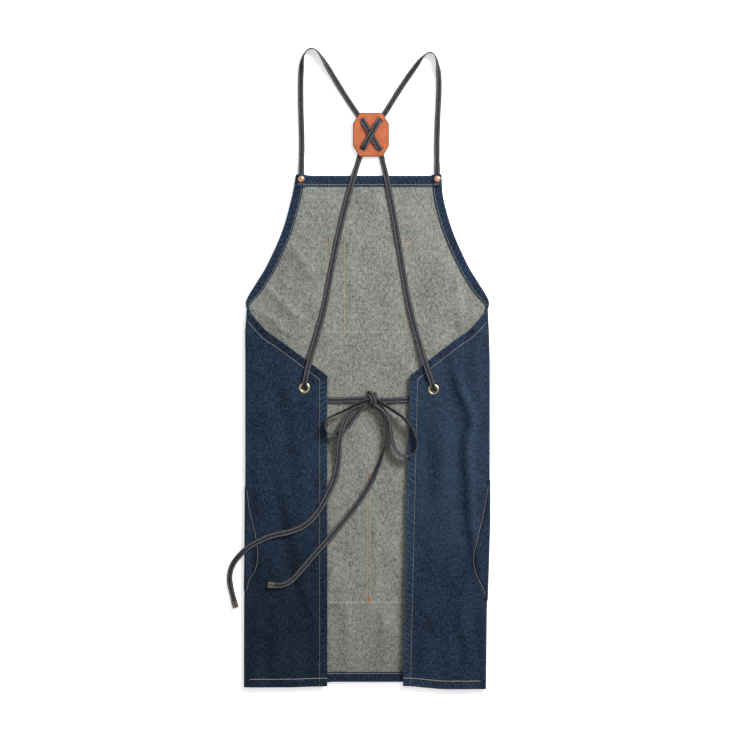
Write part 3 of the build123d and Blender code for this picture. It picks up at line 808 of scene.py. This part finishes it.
wing_folds = {
    "left": (
        (((-.100, -.320), (-.116, -.275), (-.128, -.220), (-.143, -.140), (-.155, -.080)), .0095,
         -.0022),
        (((-.085, -.330), (-.096, -.290), (-.104, -.262)), .0080, .0010),
        (((-.158, -.230), (-.159, -.170), (-.160, -.110)), .0090, .0007),
        (((-.172, -.400), (-.160, -.350), (-.165, -.300)), .0110, -.0016),
        (((-.150, -.405), (-.140, -.350), (-.146, -.300)), .0110, .0010),
        (((-.130, -.050), (-.138, .020), (-.150, .080)), .0110, -.0016),
        (((-.110, -.040), (-.116, .020), (-.130, .080)), .0110, .0010),
        (((-.198, -.400), (-.197, -.180), (-.198, .100)), .0070, -.0012),
    ),
    "right": (
        (((.177, -.231), (.171, -.204), (.163, -.143), (.160, -.082), (.157, -.027), (.165, .021),
          (.149, .064), (.134, .112)), .0070, -.0029),
        (((.191, -.231), (.184, -.204), (.177, -.143), (.174, -.082), (.171, -.027), (.179, .021),
          (.163, .064), (.147, .112)), .0075, .0034),
        (((.138, -.215), (.136, -.140), (.132, -.060), (.126, .010), (.112, .050)), .0160, .0018),
        (((.173, -.412), (.158, -.360), (.143, -.312)), .0090, -.0014),
        (((.184, -.412), (.170, -.360), (.155, -.312)), .0090, .0012),
        (((.110, -.346), (.100, -.322), (.088, -.298)), .0060, -.0012),
        (((.120, -.346), (.110, -.322), (.098, -.298)), .0060, .0010),
        (((.203, -.292), (.195, -.270), (.186, -.248)), .0050, .0012),
        (((.108, -.110), (.110, -.060), (.104, -.010)), .0090, -.0016),
        (((.090, -.400), (.085, -.330), (.090, -.250)), .0110, -.0010),
    ),
}
hollow_painted_shade = 190.0                 # how much painted shade a hollow of such a fold gets, for its depth
ridge_painted_highlight = 60.0                   # how much painted highlight its ridge gets, for its height
deepest_hollow = 0.0007            # keeps the front's hollows off the table
wing_puff = 0.0008                 # rise of a wing's middle over its fold


def soft_folds(x, y, folds):
    """Height of rounded ridges and hollows that fade out at both ends."""
    total = 0
    for places, width, height in folds:
        line = smooth_line(places, 60)
        low, high = line[0, 1], line[-1, 1]
        along = (y - low) / (high - low)
        fade = smoothstep(-0.15, 0.25, along) * smoothstep(1.15, 0.75, along)
        away = (x - np.interp(y, line[:, 1], line[:, 0])) / width
        total = total + height * fade * np.exp(-away ** 2)
    return total


def fold_painted_shading(x, y, folds):
    """Painted shade in the hollows of soft folds, and a painted highlight on their ridges."""
    height = soft_folds(x, y, folds)
    return -height * np.where(height > 0, ridge_painted_highlight, hollow_painted_shade)


def panel_height(x, y):
    """Upper face of the front panel."""
    calm = smoothstep(0.206, 0.185, abs(x)) * smoothstep(-0.436, -0.40, y)
    wave = 0.00045 * ripples(x, y, 0.085, 3) + 0.00022 * ripples(x, y, 0.034, 4, (1.0, 1.8))
    wave = wave + 0.0006 * creases(x, y, 0.10, 5, 3.4, (1.0, 1.8)) - 0.0004
    return inside_z + calm * np.maximum(wave + soft_folds(x, y, panel_folds), -deepest_hollow)


def wing_height(side, x, y):
    """Upper face of a wing."""
    seed = 20 if side == "left" else 30
    calm = smoothstep(0.2065, 0.190, abs(x))
    line = np.array([wing_foot[side], wing_corner[side]])
    inner = np.interp(y, line[:, 1], line[:, 0])
    middle = smoothstep(0.0, 0.035, abs(x) - abs(inner))
    wave = 0.00055 * ripples(x, y, 0.090, seed) + 0.00022 * ripples(x, y, 0.034, seed + 1)
    wave = wave + 0.00065 * ripples(x, y, 0.036, seed + 3, (1.0, 4.5))
    wave = wave + 0.0009 * creases(x, y, 0.10, seed + 2, 3.6) - 0.0007
    lift_y, lifts = np.array(edge_lift[side]).T
    lift = np.interp(y, lift_y, lifts) * np.exp(-abs(abs(x) - abs(inner)) / 0.018)
    puff = wing_puff * smoothstep(0.204, 0.178, abs(x)) * smoothstep(0.0, 0.05, abs(x) - abs(inner))
    folds = calm * soft_folds(x, y, wing_folds[side])
    return wing_top_z + calm * wave * (0.35 + 0.65 * middle) + lift + puff + folds


def graded(total, fine_start, fine_end, fine, coarse):
    """Shares from 0 to 1, closely spaced near either end."""
    first = np.arange(0, fine_start, fine)
    last = total - np.arange(0, fine_end, fine)[::-1]
    middle = np.linspace(first[-1] + fine if fine_start else 0,
                         last[0] - fine if fine_end else total,
                         int((total - fine_start - fine_end) / coarse) + 2)
    return np.unique(np.concatenate([first, middle, last])) / total


def offset(line, distance):
    """A line in the plane moved sideways, to its left as it runs."""
    tangent = unit(np.gradient(line, axis=0))
    return line + np.stack([-tangent[:, 1], tangent[:, 0]], axis=1) * np.reshape(distance, (-1, 1))


PUCKER = 0.0003                    # how far a stitched band of cloth rises and falls


def strip_surface(line, width, height, rubbed=(1, 1), limit=1.0, darkening=0.0):
    """The middle surface of a band of cloth to the left of a line in the plane, puckered along
    its stitching. height(x, y) is the surface it lies in, rubbed how worn its two edges are, dye
    how much darker it is, and the band stays within limit of the middle line."""
    shares = np.linspace(0, 1, 11)
    rows = np.stack([offset(line, share * width) for share in shares])
    x, y = np.clip(rows[..., 0], -limit, limit), rows[..., 1]
    along = np.broadcast_to(lengths_along(line)[None, :], x.shape)
    d = shares[:, None] * width
    inside = smoothstep(0.0, 0.2, shares[:, None]) * smoothstep(1.0, 0.8, shares[:, None])
    rope = inside * np.sin(2 * math.pi * (along + 0.7 * d) / pucker_pitch
                           + 1.5 * ripples(along, d, 0.05, 9))
    rub = rubbed[0] * np.exp(-d / 0.0012) + rubbed[1] * np.exp(-(width - d) / 0.0012)
    wear_and_shading = np.clip(0.10 - darkening + 0.5 * rub + 0.26 * rope, -1, 1)
    return joined(x, y, height(x, y) + PUCKER * rope), joined(d, along), wear_and_shading


def raised(height, rise):
    """The surface that lies higher by rise than the one of height(x, y)."""
    return lambda x, y: height(x, y) + rise


SEAM_RISE = 0.00012                # of a seam's thread over the cloth


def seam_part(line, height, slot, **sizes):
    """Stitches along a line in the plane, just proud of the surface height(x, y)."""
    x, y = line.T
    at = joined(x, y, height(x, y) + SEAM_RISE)
    return stitch_part(at, np.broadcast_to(UP, at.shape), slot, **sizes)


def straight(start, end, step=0.003):
    start, end = np.array(start, float), np.array(end, float)
    count = max(2, int(np.linalg.norm(end - start) / step))
    return start + (end - start) * np.linspace(0, 1, count)[:, None]


BAR_GAP = 0.00055


def bar_part(x, y, length=0.009, rows=5):
    """A bartack on the front panel: close rows of thread side by side."""
    parts = []
    for k in range(rows):
        row_x = x - (k - (rows - 1) / 2) * BAR_GAP
        row = straight((row_x, y - length / 2), (row_x, y + length / 2), 0.001)
        parts.append(seam_part(row, panel_height, RED, pitch=length / 2, length=length / 2,
                               radius=0.0003))
    return parts


# ---- Cloth: pieces -----------------------------------------------------------------------------
CLOTH_SLOTS = [denim_out, denim_in, tan_thread, cream_thread, orange_thread, red_thread]
TAN, CREAM, ORANGE, RED = 2, 3, 4, 5
GREY_UP = (1, 0, 0)            # upper side, under side and rim, for cloth with the grey side up
BLUE_UP = (0, 1, 0)


def cloth_piece(node, surface, seams, slots, rests_on=(), held="folded", hole=None, **options):
    """A sheet of cloth with its stitching, in place of a CAD node. surface is the grid of its middle, its
    place in the weave and how rubbed it is, with its painted shading."""
    part = sheet_part(*surface, slots, **options)
    if hole:
        part = punched(part, hole)
    piece = make_piece(f"{node}_cloth", [part, *seams], CLOTH_SLOTS)
    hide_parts(node)
    return piece


def punched(part, centre):
    """A sheet with an eyelet's hole, its cloth pushed outwards and a few faces taken away."""
    points, faces, uv, wear_and_shading, kinds = part
    away = points[:, :2] - np.array(centre)
    distance = np.linalg.norm(away, axis=1)
    middles = np.array([away[face].mean(axis=0) for face in faces])
    kept = np.linalg.norm(middles, axis=1) > 0.0032
    near = distance < punch_reach
    opened = grommet_barrel + (punch_reach - grommet_barrel) * distance[near] / punch_reach
    points = points.copy()
    points[near, :2] = np.array(centre) + unit(away[near]) * opened[:, None]
    faces = [face for face, keep in zip(faces, kept) if keep]
    kinds = [kind for kind, keep in zip(kinds, kept) if keep]
    return points, faces, uv, wear_and_shading, kinds


# ---- Front panel: the grey side faces up -------------------------------------------------------
def panel_grid(rows, columns):
    """Places on the front panel, with columns evenly from edge to edge at each plain height."""
    left_edge, right_edge = (panel_edge(side, sign, rows) for side, sign in SIDES)
    x = left_edge + (right_edge - left_edge) * np.linspace(0, 1, columns)[None, :]
    return x, panel_y(x, rows)


rows = np.linspace(hem_y, top_y, 240)[:, None]
x, y = panel_grid(rows, 116)
folded_rows = int(np.searchsorted(rows[:, 0], fold_top_y))
# Painted shade: darker towards the hem and on the left of the bib, with painted shade and highlight on
# the soft folds
painted_shading = (0.30 * smoothstep(-0.26, -0.42, y) + 0.16 * smoothstep(-0.08, -0.15, x)
            * smoothstep(0.36, 0.28, y) + fold_painted_shading(x, y, panel_folds))

# The pockets' stitching comes through to this side
seams = []
for seam_x in (chest_low.x, pen_slot_x, chest_high.x):
    seams.append(seam_part(straight((seam_x, chest_high.y), (seam_x, chest_low.y)), panel_height,
                           ORANGE, radius=0.00055))
    seams += bar_part(seam_x, chest_high.y)
for low_x, high_x, seam_y in ((chest_low.x, chest_high.x, chest_low.y),
                              (-0.19, 0.19, hand_pocket_low)):
    seams.append(seam_part(straight((low_x, seam_y), (high_x, seam_y)), panel_height, CREAM))
for seam_x in double_seam_x:
    seams.append(seam_part(straight((seam_x, hand_pocket_high), (seam_x, hand_pocket_low)),
                           panel_height, ORANGE, radius=0.0006))
seams += bar_part(np.mean(double_seam_x), hand_pocket_low + 0.006, 0.012, 9)
seams += bar_part(np.mean(double_seam_x), hand_pocket_high, 0.009, 7)
front = cloth_piece("front_panel",
                    (joined(x, y, panel_height(x, y) - cloth / 2), joined(x, y), -painted_shading),
                    seams, GREY_UP, ["hand_pocket", "chest_pocket"],
                    square={"start": folded_rows, "end": folded_rows})
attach(front, "root")


# ---- Hems and facings on the grey side ---------------------------------------------------------
on_trim = raised(panel_height, cloth / 2)      # middle surface of cloth turned over onto it
over_trim = raised(panel_height, cloth)


def on_hem(x, y):
    """on_trim for the bib's top hem, which rises over the strap roots."""
    root = sum(smoothstep(0.0095, 0.0052, abs(x - spot.x)) for spot in rivet_at.values())
    return on_trim(x, y) + strap_thickness * root


def trim_piece(node, surface, seam):
    trim = cloth_piece(node, surface, [seam], BLUE_UP, ["front_panel"])
    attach(trim, "root")


share = np.linspace(0, 1, 14)[:, None]
x, y = panel_grid(top_y - top_hem_width * (1 - share), 170)
rope = (np.sin(2 * math.pi * (x + 0.6 * y) / pucker_pitch + 1.5 * ripples(x, y, 0.05, 12))
        * smoothstep(0, 0.25, share) * smoothstep(1, 0.8, share))
wear_and_shading = 0.6 * np.exp(-share * 12) + 0.5 * np.exp(-(1 - share) * 12) + 0.22 * rope - 0.05
trim_piece("top_hem",
           (joined(x, y, on_hem(x, y) + 0.00016 * rope), joined(x, y), np.clip(wear_and_shading, -1, 1)),
           seam_part(joined(x[2], y[2])[3:-3], raised(on_hem, cloth / 2), TAN))

# The armhole bands narrow where they turn round the side folds, and end under the wings
facing_taper = ((.190, .0020), (.206, .0030), (.212, .0048), (.223, .0092), (.235, .0130),
                (.250, facing_width))
for side, sign in SIDES:
    line = armhole_line[side]
    line = line[line[:, 1] < top_y - top_hem_width + 0.0004]
    hinge = hinge_at(side, sign, fold_top_y)
    line = evenly(np.vstack([line, (hinge, fold_top_y - 0.001), (hinge, fold_top_y - 0.017)]), 160)
    width = np.interp(line[:, 1], *np.array(facing_taper).T)
    seam = offset(line, -sign * (width - 0.0020))[line[:, 1] > 0.212]
    run, run_width = (line, width) if sign < 0 else (line[::-1], width[::-1])
    trim_piece(f"{side}_armhole_facing", strip_surface(run, run_width, on_trim, darkening=0.18),
               seam_part(seam, over_trim, TAN, radius=0.00036))

hem_x = np.linspace(-fold_at("left", hem_y) + 0.005, fold_at("right", hem_y) - 0.005, 200)
bottom_line = joined(hem_x, panel_y(hem_x, hem_y))
trim_piece("front_bottom_hem", strip_surface(bottom_line, hem_width, on_trim, darkening=0.45),
           seam_part(offset(bottom_line, hem_width - 0.0024), over_trim, TAN))


# ---- Pockets on the outside, which lies down ---------------------------------------------------
def under_panel(x, y):
    """Middle surface of a pocket sewn to the outside of the front panel."""
    return front_z - cloth / 2 + 0.2 * np.maximum(panel_height(x, y) - inside_z, 0)


def outside_seam(start, end):
    """Stitches on the lower face of a pocket."""
    x, y = straight(start, end).T
    at = joined(x, y, under_panel(x, y) - cloth / 2)
    return stitch_part(at, np.broadcast_to(-UP, at.shape), ORANGE)


def pocket_piece(node, x, y, seams, **options):
    pocket = cloth_piece(node, (joined(x, y, under_panel(x, y)), joined(x, y), 0.0), seams, GREY_UP,
                         **options)
    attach(pocket, "root")


x, y = np.meshgrid(np.linspace(chest_low.x, chest_high.x, 44), np.linspace(chest_low.y, chest_high.y, 50))
inset = 0.002
seams = [outside_seam((seam_x, chest_low.y + inset), (seam_x, chest_high.y - inset))
         for seam_x in (chest_low.x + inset, pen_slot_x, chest_high.x - inset)]
seams += [outside_seam((chest_low.x + inset, seam_y), (chest_high.x - inset, seam_y))
          for seam_y in (chest_low.y + inset, chest_high.y - hem_width)]
pocket_piece("chest_pocket", x, y, seams, held="laid")

# The hand pocket's ends run up or down to where they wrap round the side folds
slope = 0.022
hinge_x = fold_x - fold_reach
across = np.linspace(-hinge_x, hinge_x, 110)[None, :]
bends = (-hinge_x, slope - hinge_x, hinge_x - slope, hinge_x)
low_y, high_y = (np.interp(across, bends, (pocket_edge["left"][end][1], middle_y, middle_y,
                                           pocket_edge["right"][end][1]))
                 for end, middle_y in ((-1, hand_pocket_low), (0, hand_pocket_high)))
y = low_y + (high_y - low_y) * np.linspace(0, 1, 64)[:, None]
x = across + 0 * y
for column, (side, sign) in zip((0, -1), SIDES):
    x[:, column] = hinge_at(side, sign, y[:, column])
seams = []
for level in (0.004, 0.93):
    spots = joined(x[0], low_y[0] + (high_y[0] - low_y[0]) * level)[[2, 8, -9, -3]]
    seams += [outside_seam(start, end) for start, end in zip(spots, spots[1:])]
seams += [outside_seam((seam_x, hand_pocket_low + 0.001), (seam_x, hand_pocket_high - 0.001))
          for seam_x in double_seam_x]
pocket_piece("hand_pocket", x, y, seams, square={"start": None, "end": None})

# ---- Wings: the front panel's cloth goes on round the folds, and lies on it blue side up -------
ARC_STEPS = 10
WING_PUCKER = 0.0005               # how far a wing's hems rise and fall
SEAM_GROOVE = 0.0003               # how deep the topstitching pulls into them


def round_fold(side, sign, flat, radius, weave_x=0.0):
    """The grid of a sheet with the half turn round its side fold put before it, its places in the
    weave, and the turn from 0 to pi."""
    y = flat[:, :1, 1]
    turn = np.radians(np.linspace(0, 180, ARC_STEPS + 1))[None, :-1] + 0 * y
    hinge = hinge_at(side, sign, y)
    arc = joined(hinge + sign * radius * np.sin(turn), y, fold_mid_z - radius * np.cos(turn))
    grid = np.hstack([arc, flat])
    across = np.hstack([radius * turn, math.pi * radius + abs(flat[..., 0] - hinge)])
    return grid, joined(across + weave_x, grid[..., 1]), turn


def swing(piece):
    """Bakes a piece's placement into its mesh."""
    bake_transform(piece)


for side, sign in SIDES:
    foot, corner = np.array(wing_foot[side]), np.array(wing_corner[side])
    top_line = smooth_line([(hinge_at(side, sign, fold_top_y), fold_top_y), *wing_armhole[side],
                            corner], 200)
    top_share = lengths_along(top_line) / lengths_along(top_line)[-1]
    wing_width = abs(corner[0] - top_line[0, 0])
    u = graded(wing_width, 0, 0.020, 0.0014, 0.0034)[None, :]
    v = graded(top_line[0, 1] - foot[1], 0.020, 0.022, 0.0014, 0.0027)[:, None]
    edge_x = np.interp(u, top_share, top_line[:, 0])
    edge_y = np.interp(u, top_share, top_line[:, 1])
    low_x = hinge_at(side, sign, hem_y) * (1 - u) + foot[0] * u
    low_y = foot[1] + (wing_hem_y[side] - foot[1]) * smoothstep(0.0, 0.55, 1 - u)
    x = low_x * (1 - v) + edge_x * v
    y = low_y * (1 - v) + edge_y * v
    x = x + (hinge_at(side, sign, y[:, :1]) - x[:, :1]) * (1 - u) ** 2

    # Hems are puckered along their topstitching, and rubbed on edges and puckers
    inner_away = (1 - u) * wing_width + 0 * v
    top_away = (edge_y - y) * 0.86
    low_away = y - low_y
    nearest = np.minimum(np.minimum(inner_away, top_away), low_away)
    run = np.where(inner_away < np.minimum(top_away, low_away), y, x)
    in_hem = smoothstep(0.0, 0.003, nearest) * smoothstep(seam_inset + 0.002, seam_inset - 0.002,
                                                          nearest)
    rope = in_hem * np.sin(2 * math.pi * (run + 0.7 * nearest) / pucker_pitch
                           + 1.6 * ripples(x, y, 0.06, 14))
    groove = np.exp(-((nearest - seam_inset) / 0.0016) ** 2)
    relief = WING_PUCKER * rope - SEAM_GROOVE * groove
    flat = joined(x, y, wing_height(side, x, y) - cloth / 2 + relief)
    grid, weave, turn = round_fold(side, sign, flat, fold_radius)
    # Painted shading: the left wing darker towards the hem, the right wing's top lighter, and shade and
    # highlight on the soft folds
    painted_shading_top, painted_shading_low = wing_painted_shading[side]
    painted_shading = (painted_shading_top + (painted_shading_low - painted_shading_top) * smoothstep(-0.06, -0.30, y)
                + fold_painted_shading(x, y, wing_folds[side]))
    # The top hem band is darker than the rest of the wing
    hem_darkening = top_hem_darkening[side] * smoothstep(seam_inset + 0.002, seam_inset - 0.002, top_away)
    wear_and_shading = np.hstack([0.3 * np.sin(turn) ** 2, 0.10 * in_hem + 0.5 * np.exp(-nearest / 0.0012)
                      + 0.3 * rope - painted_shading - hem_darkening])

    on_wing = partial(wing_height, side)
    inner_seam = straight(corner, foot) + np.array([sign * seam_inset, 0])
    top_seam = offset(top_line, sign * seam_inset)
    top_seam = top_seam[(top_seam[:, 0] - inner_seam[0, 0]) * sign > -0.001]
    top_seam = top_seam[abs(top_seam[:, 0]) < fold_at(side, top_seam[:, 1]) - 0.0032]
    inner_seam = inner_seam[inner_seam[:, 1] < top_seam[-1, 1] + 0.001]
    low_seam = joined(low_x[0], low_y[0] + seam_inset + 0.001)[2:]
    seams = [seam_part(line, on_wing, slot, radius=radius) for line, slot, radius in
             ((top_seam, TAN, 0.00045), (inner_seam, TAN, 0.00029), (low_seam, CREAM, 0.00048))]
    wing = cloth_piece(f"{side}_wing", (grid, weave, np.clip(wear_and_shading, -1, 1)), seams, BLUE_UP,
                       ["front_panel"], hole=grommet_at[side].xy, flip=sign > 0,
                       square={"start": None})
    swing(wing)

    # Cloth turned over under the wing's three free edges
    inner_line = straight(foot + (0, 0.001), corner - (0, 0.012))
    hem_line = joined(low_x[0], low_y[0] + 0.0002)
    hem_line = evenly(hem_line[(hem_line[:, 0] - foot[0]) * sign > hem_width], 90)
    for name, line, width in (("wing_edge_hem", inner_line[::-sign], hem_width),
                              ("wing_bottom_hem", hem_line[::-sign], hem_width),
                              ("wing_facing", evenly(top_line, 120)[::sign], facing_width)):
        band = strip_surface(line, width, raised(on_wing, -1.5 * cloth), (1, 0), fold_x - 0.004)
        trim = cloth_piece(f"{side}_{name}", band, [], GREY_UP, [f"{side}_wing"])
        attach(trim, f"{side}_wing")

    # The hand pocket's end, wrapped round the fold onto the wing
    outline = smooth_line(pocket_edge[side], 200)
    y = np.linspace(outline[-1, 1], outline[0, 1], 90)[:, None]
    hinge = hinge_at(side, sign, y)
    edge_x = np.interp(y, outline[::-1, 1], outline[::-1, 0])
    edge_x = sign * np.minimum(abs(edge_x), abs(hinge) - 0.0004)
    x = hinge + (edge_x - hinge) * np.linspace(0, 1, 14)[None, :]
    flat = joined(x, y, on_wing(x, y) + cloth / 2)
    grid, weave, turn = round_fold(side, sign, flat, fold_radius + cloth, 0.3)
    # A painted shadow along the pocket end's edge, with the wing's painted shade low down
    edge_painted_shade = 0.7 * np.exp(-abs(edge_x - x) / 0.0018) + 0.3 * painted_shading_low
    wear_and_shading = np.hstack([0.1 * np.sin(turn) ** 2, -edge_painted_shade])
    edge_seam = offset(outline, -sign * 0.0022)
    edge_seam = edge_seam[abs(edge_seam[:, 0]) < abs(fold_at(side, edge_seam[:, 1])) - 0.003]
    seams = [seam_part(edge_seam, raised(on_wing, cloth - 0.00008), TAN, radius=0.00036)]
    pocket_end = cloth_piece(f"{side}_pocket_end", (grid, weave, wear_and_shading), seams, BLUE_UP,
                             [f"{side}_wing"], flip=sign > 0, square={"start": None})
    swing(pocket_end)

# ---- Eyelets and rivets: turned metal ----------------------------------------------------------
def hardware(name, node, body, profile, centre, material, closed=False):
    """A turned piece in place of a CAD node."""
    piece = turned_piece(name, profile, centre, material, closed)
    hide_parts(node)
    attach(piece, body)


hole, rim = grommet_barrel - 0.0007, 0.0095
washer_z = wing_z + 0.0001
grommet_profile = [
    (hole, wing_z), (hole, wing_top_z + .0004), (hole + .0003, wing_top_z + .0008),
    (hole + .0010, wing_top_z + .00112), (hole + .0020, wing_top_z + .0012),
    (rim - .0012, wing_top_z + .0009), (rim - .0003, wing_top_z + .0005), (rim, wing_top_z + .0001),
    (rim - .0004, wing_top_z - .0003), (hole + .0006, wing_top_z - .0003), (hole + .0006, wing_z)]
washer_profile = [
    (hole + .0002, washer_z), (rim - .0002, washer_z), (rim, washer_z - .0004),
    (rim - .0006, washer_z - .0008), (hole + .0012, washer_z - .0009), (hole + .0003, washer_z - .0006)]
# Radius and depth below the top: a domed cap with a groove, on its shank
rivet_profile = [
    (.00001, 0), (.0012, .00004), (.0022, .0002), (.0028, .0006), (.0031, .0007), (.0042, .0005),
    (.0049, .0006), (.0052, .0009), (.0052, .0013), (.0048, .0015), (.0018, .0015)]
shank_foot = 0.0003
burr_profile = [(.0018, front_z), (.0043, front_z), (.0045, front_z - .0002), (.0042, .0003),
                (.0018, .00025)]
for side, _ in SIDES:
    wing, spot = f"{side}_wing", grommet_at[side]
    hardware(f"{side}_eyelet", f"{side}_grommet", wing, grommet_profile, spot, brass, True)
    hardware(f"{side}_eyelet_washer", f"{side}_grommet_washer", wing, washer_profile, spot,
             brass, True)
    spot, top = rivet_at[side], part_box(f"{side}_rivet")[1].z
    cap = [(radius, top - depth) for radius, depth in rivet_profile]
    cap += [(rivet_profile[-1][0], shank_foot), (rivet_profile[0][0], shank_foot)]
    hardware(f"{side}_rivet_cap", f"{side}_rivet", "root", cap, spot, copper)
    hardware(f"{side}_rivet_back", f"{side}_rivet_burr", "root", burr_profile, spot, copper,
             True)


# ---- Keeper: a leather plate with four slots ---------------------------------------------------
def rounded(corners, radius, spacing=0.0012):
    """A closed outline with its corners rounded, anticlockwise like the corners given."""
    corners = np.array(corners)
    t = np.linspace(0, 1, 6)[:, None]
    bends = []
    for before, at, after in zip(np.roll(corners, 1, axis=0), corners, np.roll(corners, -1, axis=0)):
        start = at + unit(before - at) * radius
        end = at + unit(after - at) * radius
        bends.append(start * (1 - t) ** 2 + 2 * at * t * (1 - t) + end * t ** 2)
    ring = np.vstack([*bends, bends[0][:1]])
    return evenly(ring, int(lengths_along(ring)[-1] / spacing))[:-1]


def inset_ring(ring, distance):
    tangent = unit(np.roll(ring, -1, axis=0) - np.roll(ring, 1, axis=0))
    return ring + np.stack([-tangent[:, 1], tangent[:, 0]], axis=1) * distance


def within(points, ring):
    """Which points lie in an anticlockwise convex outline."""
    sides = np.roll(ring, -1, axis=0) - ring
    away = points[:, None, :] - ring[None, :, :]
    return (sides[None, :, 0] * away[..., 1] - sides[None, :, 1] * away[..., 0] > -1e-9).all(axis=1)


plate_low, plate_high = (np.array(corner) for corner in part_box("keeper"))
plate_foot = plate_low[2] + 0.0001
low_x, low_y, high_x, high_y = *plate_low[:2], *plate_high[:2]
plate_ring = rounded([(low_x + .0110, low_y), (high_x - .0108, low_y), (high_x, low_y + .0180),
                      (high_x, high_y - .0182), (high_x - .0122, high_y), (low_x + .0116, high_y),
                      (low_x, high_y - .0178), (low_x, low_y + .0182)], 0.0022)
slot_length, slot_width = 0.0102, 0.0030
slots = []
for slot_x, slot_y, turn in ((-.0080, .5283, 37), (.0206, .5281, -42), (-.0072, .4787, -31),
                             (.0214, .4781, 38)):
    along = np.array([math.cos(math.radians(turn)), math.sin(math.radians(turn))])
    aside = np.array([-along[1], along[0]])
    corners = [(slot_x, slot_y) + along * a * slot_length / 2 + aside * b * slot_width / 2
               for a, b in ((-1, -1), (1, -1), (1, 1), (-1, 1))]
    slots.append(rounded(corners, 0.0015, 0.0007))

# The flat of the plate, filled with triangles between its outline and the slots
EDGE = ((0.0, -0.0008), (0.00012, -0.00035), (0.0004, -0.00008), (0.0008, 0.0))   # inset, height
FILL = 0.0016
plate_rings = [(plate_ring, 1)] + [(slot, -1) for slot in slots]
flat_rings = [inset_ring(ring, inward * EDGE[-1][0]) for ring, inward in plate_rings]
filling = np.stack(np.meshgrid(np.arange(low_x, high_x, FILL), np.arange(low_y, high_y, FILL)), axis=-1)
filling = filling.reshape(-1, 2)
filling = filling[within(filling, inset_ring(plate_ring, FILL))]
for slot in slots:
    filling = filling[~within(filling, inset_ring(slot, -FILL))]
ring_edges = []
for ring in flat_rings:
    start = len(ring_edges)
    ring_edges += [(start + k, start + (k + 1) % len(ring)) for k in range(len(ring))]
flat_points = [Vector(p) for p in np.vstack([*flat_rings, filling])]
flat_points, _, triangles, *_ = delaunay_2d_cdt(flat_points, ring_edges, [], 0, 1e-7)
flat_points = np.array([tuple(p) for p in flat_points])
middles = np.array([flat_points[list(face)].mean(axis=0) for face in triangles])
solid = within(middles, flat_rings[0])
for ring in flat_rings[1:]:
    solid &= ~within(middles, ring)
triangles = [list(face) for face, keep in zip(triangles, solid) if keep]


def plate_top(points):
    """Top of the leather, pushed up a little where straps come through."""
    swell = 0
    for slot in slots:
        away = np.linalg.norm(points - slot.mean(axis=0), axis=1)
        swell = swell + 0.0005 * np.exp(-(away / 0.009) ** 2)
    return plate_high[2] - 0.0003 + swell + 0.00012 * ripples(points[:, 0], points[:, 1], 0.03, 41)


edge_away = np.min([np.linalg.norm(flat_points[:, None] - ring[None], axis=2).min(axis=1)
                    for ring, _ in plate_rings], axis=0)
rub = np.exp(-(edge_away / 0.0014) ** 2)
keeper_parts = [
    (joined(*flat_points.T, plate_top(flat_points)), triangles, flat_points, rub, 0),
    (joined(*flat_points.T, plate_foot), [face[::-1] for face in triangles], flat_points, rub, 0)]
for (ring, inward), flat_ring in zip(plate_rings, flat_rings):
    top = plate_top(flat_ring)
    layers = [joined(*inset_ring(ring, inward * inset).T, top + height) for inset, height in EDGE[::-1]]
    layers += [joined(*inset_ring(ring, inward * inset).T, plate_foot - height) for inset, height in EDGE]
    points = np.vstack(layers)
    faces = []
    for k in range(len(layers) - 1):
        a = k * len(ring) + np.arange(len(ring))
        b = k * len(ring) + (np.arange(len(ring)) + 1) % len(ring)
        quads = np.stack([a, a + len(ring), b + len(ring), b], axis=1)
        faces += (quads if inward > 0 else quads[:, ::-1]).tolist()
    keeper_parts.append((points, faces, points[:, :2], 0.9, 0))
keeper = make_piece("keeper_leather", keeper_parts, [hide], 60)
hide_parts("keeper")
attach(keeper, "keeper")

# ---- Light, floor ------------------------------------------------------------------------------
floor_mesh = bpy.data.meshes.new("floor")
floor_half = 6.0
floor_z = -0.0007                  # just under the stitches of the outside
floor_mesh.from_pydata([(x * floor_half, y * floor_half, floor_z)
                        for x, y in ((-1, -1), (1, -1), (1, 1), (-1, 1))], [], [(0, 1, 2, 3)])
floor = bpy.data.objects.new("floor", floor_mesh)
bpy.context.scene.collection.objects.link(floor)
paper = Nodes("paper")
for name, value in (("Base Color", (0.97, 0.97, 0.97, 1)), ("Roughness", 0.95),
                    ("Emission Color", (1, 1, 1, 1)), ("Emission Strength", 0.4)):
    paper.shader.inputs[name].default_value = value
floor_mesh.materials.append(paper.material)


# A large soft key light from beyond the bib's right corner, and an even white surround
key_data = bpy.data.lights.new("key", "AREA")
key_data.shape = "DISK"
key_data.size = 1.3
key_data.energy = 200
key = bpy.data.objects.new("key", key_data)
key.location = (1.9, 2.3, 1.6)
key.rotation_mode = "QUATERNION"
key.rotation_quaternion = (Vector((0, 0.15, 0)) - key.location).to_track_quat("-Z", "Y")
bpy.context.scene.collection.objects.link(key)
world = bpy.data.worlds.new("studio")
bpy.context.scene.world = world
world.use_nodes = True
world.node_tree.nodes["Background"].inputs["Color"].default_value = (1, 1, 1, 1)
world.node_tree.nodes["Background"].inputs["Strength"].default_value = 0.54
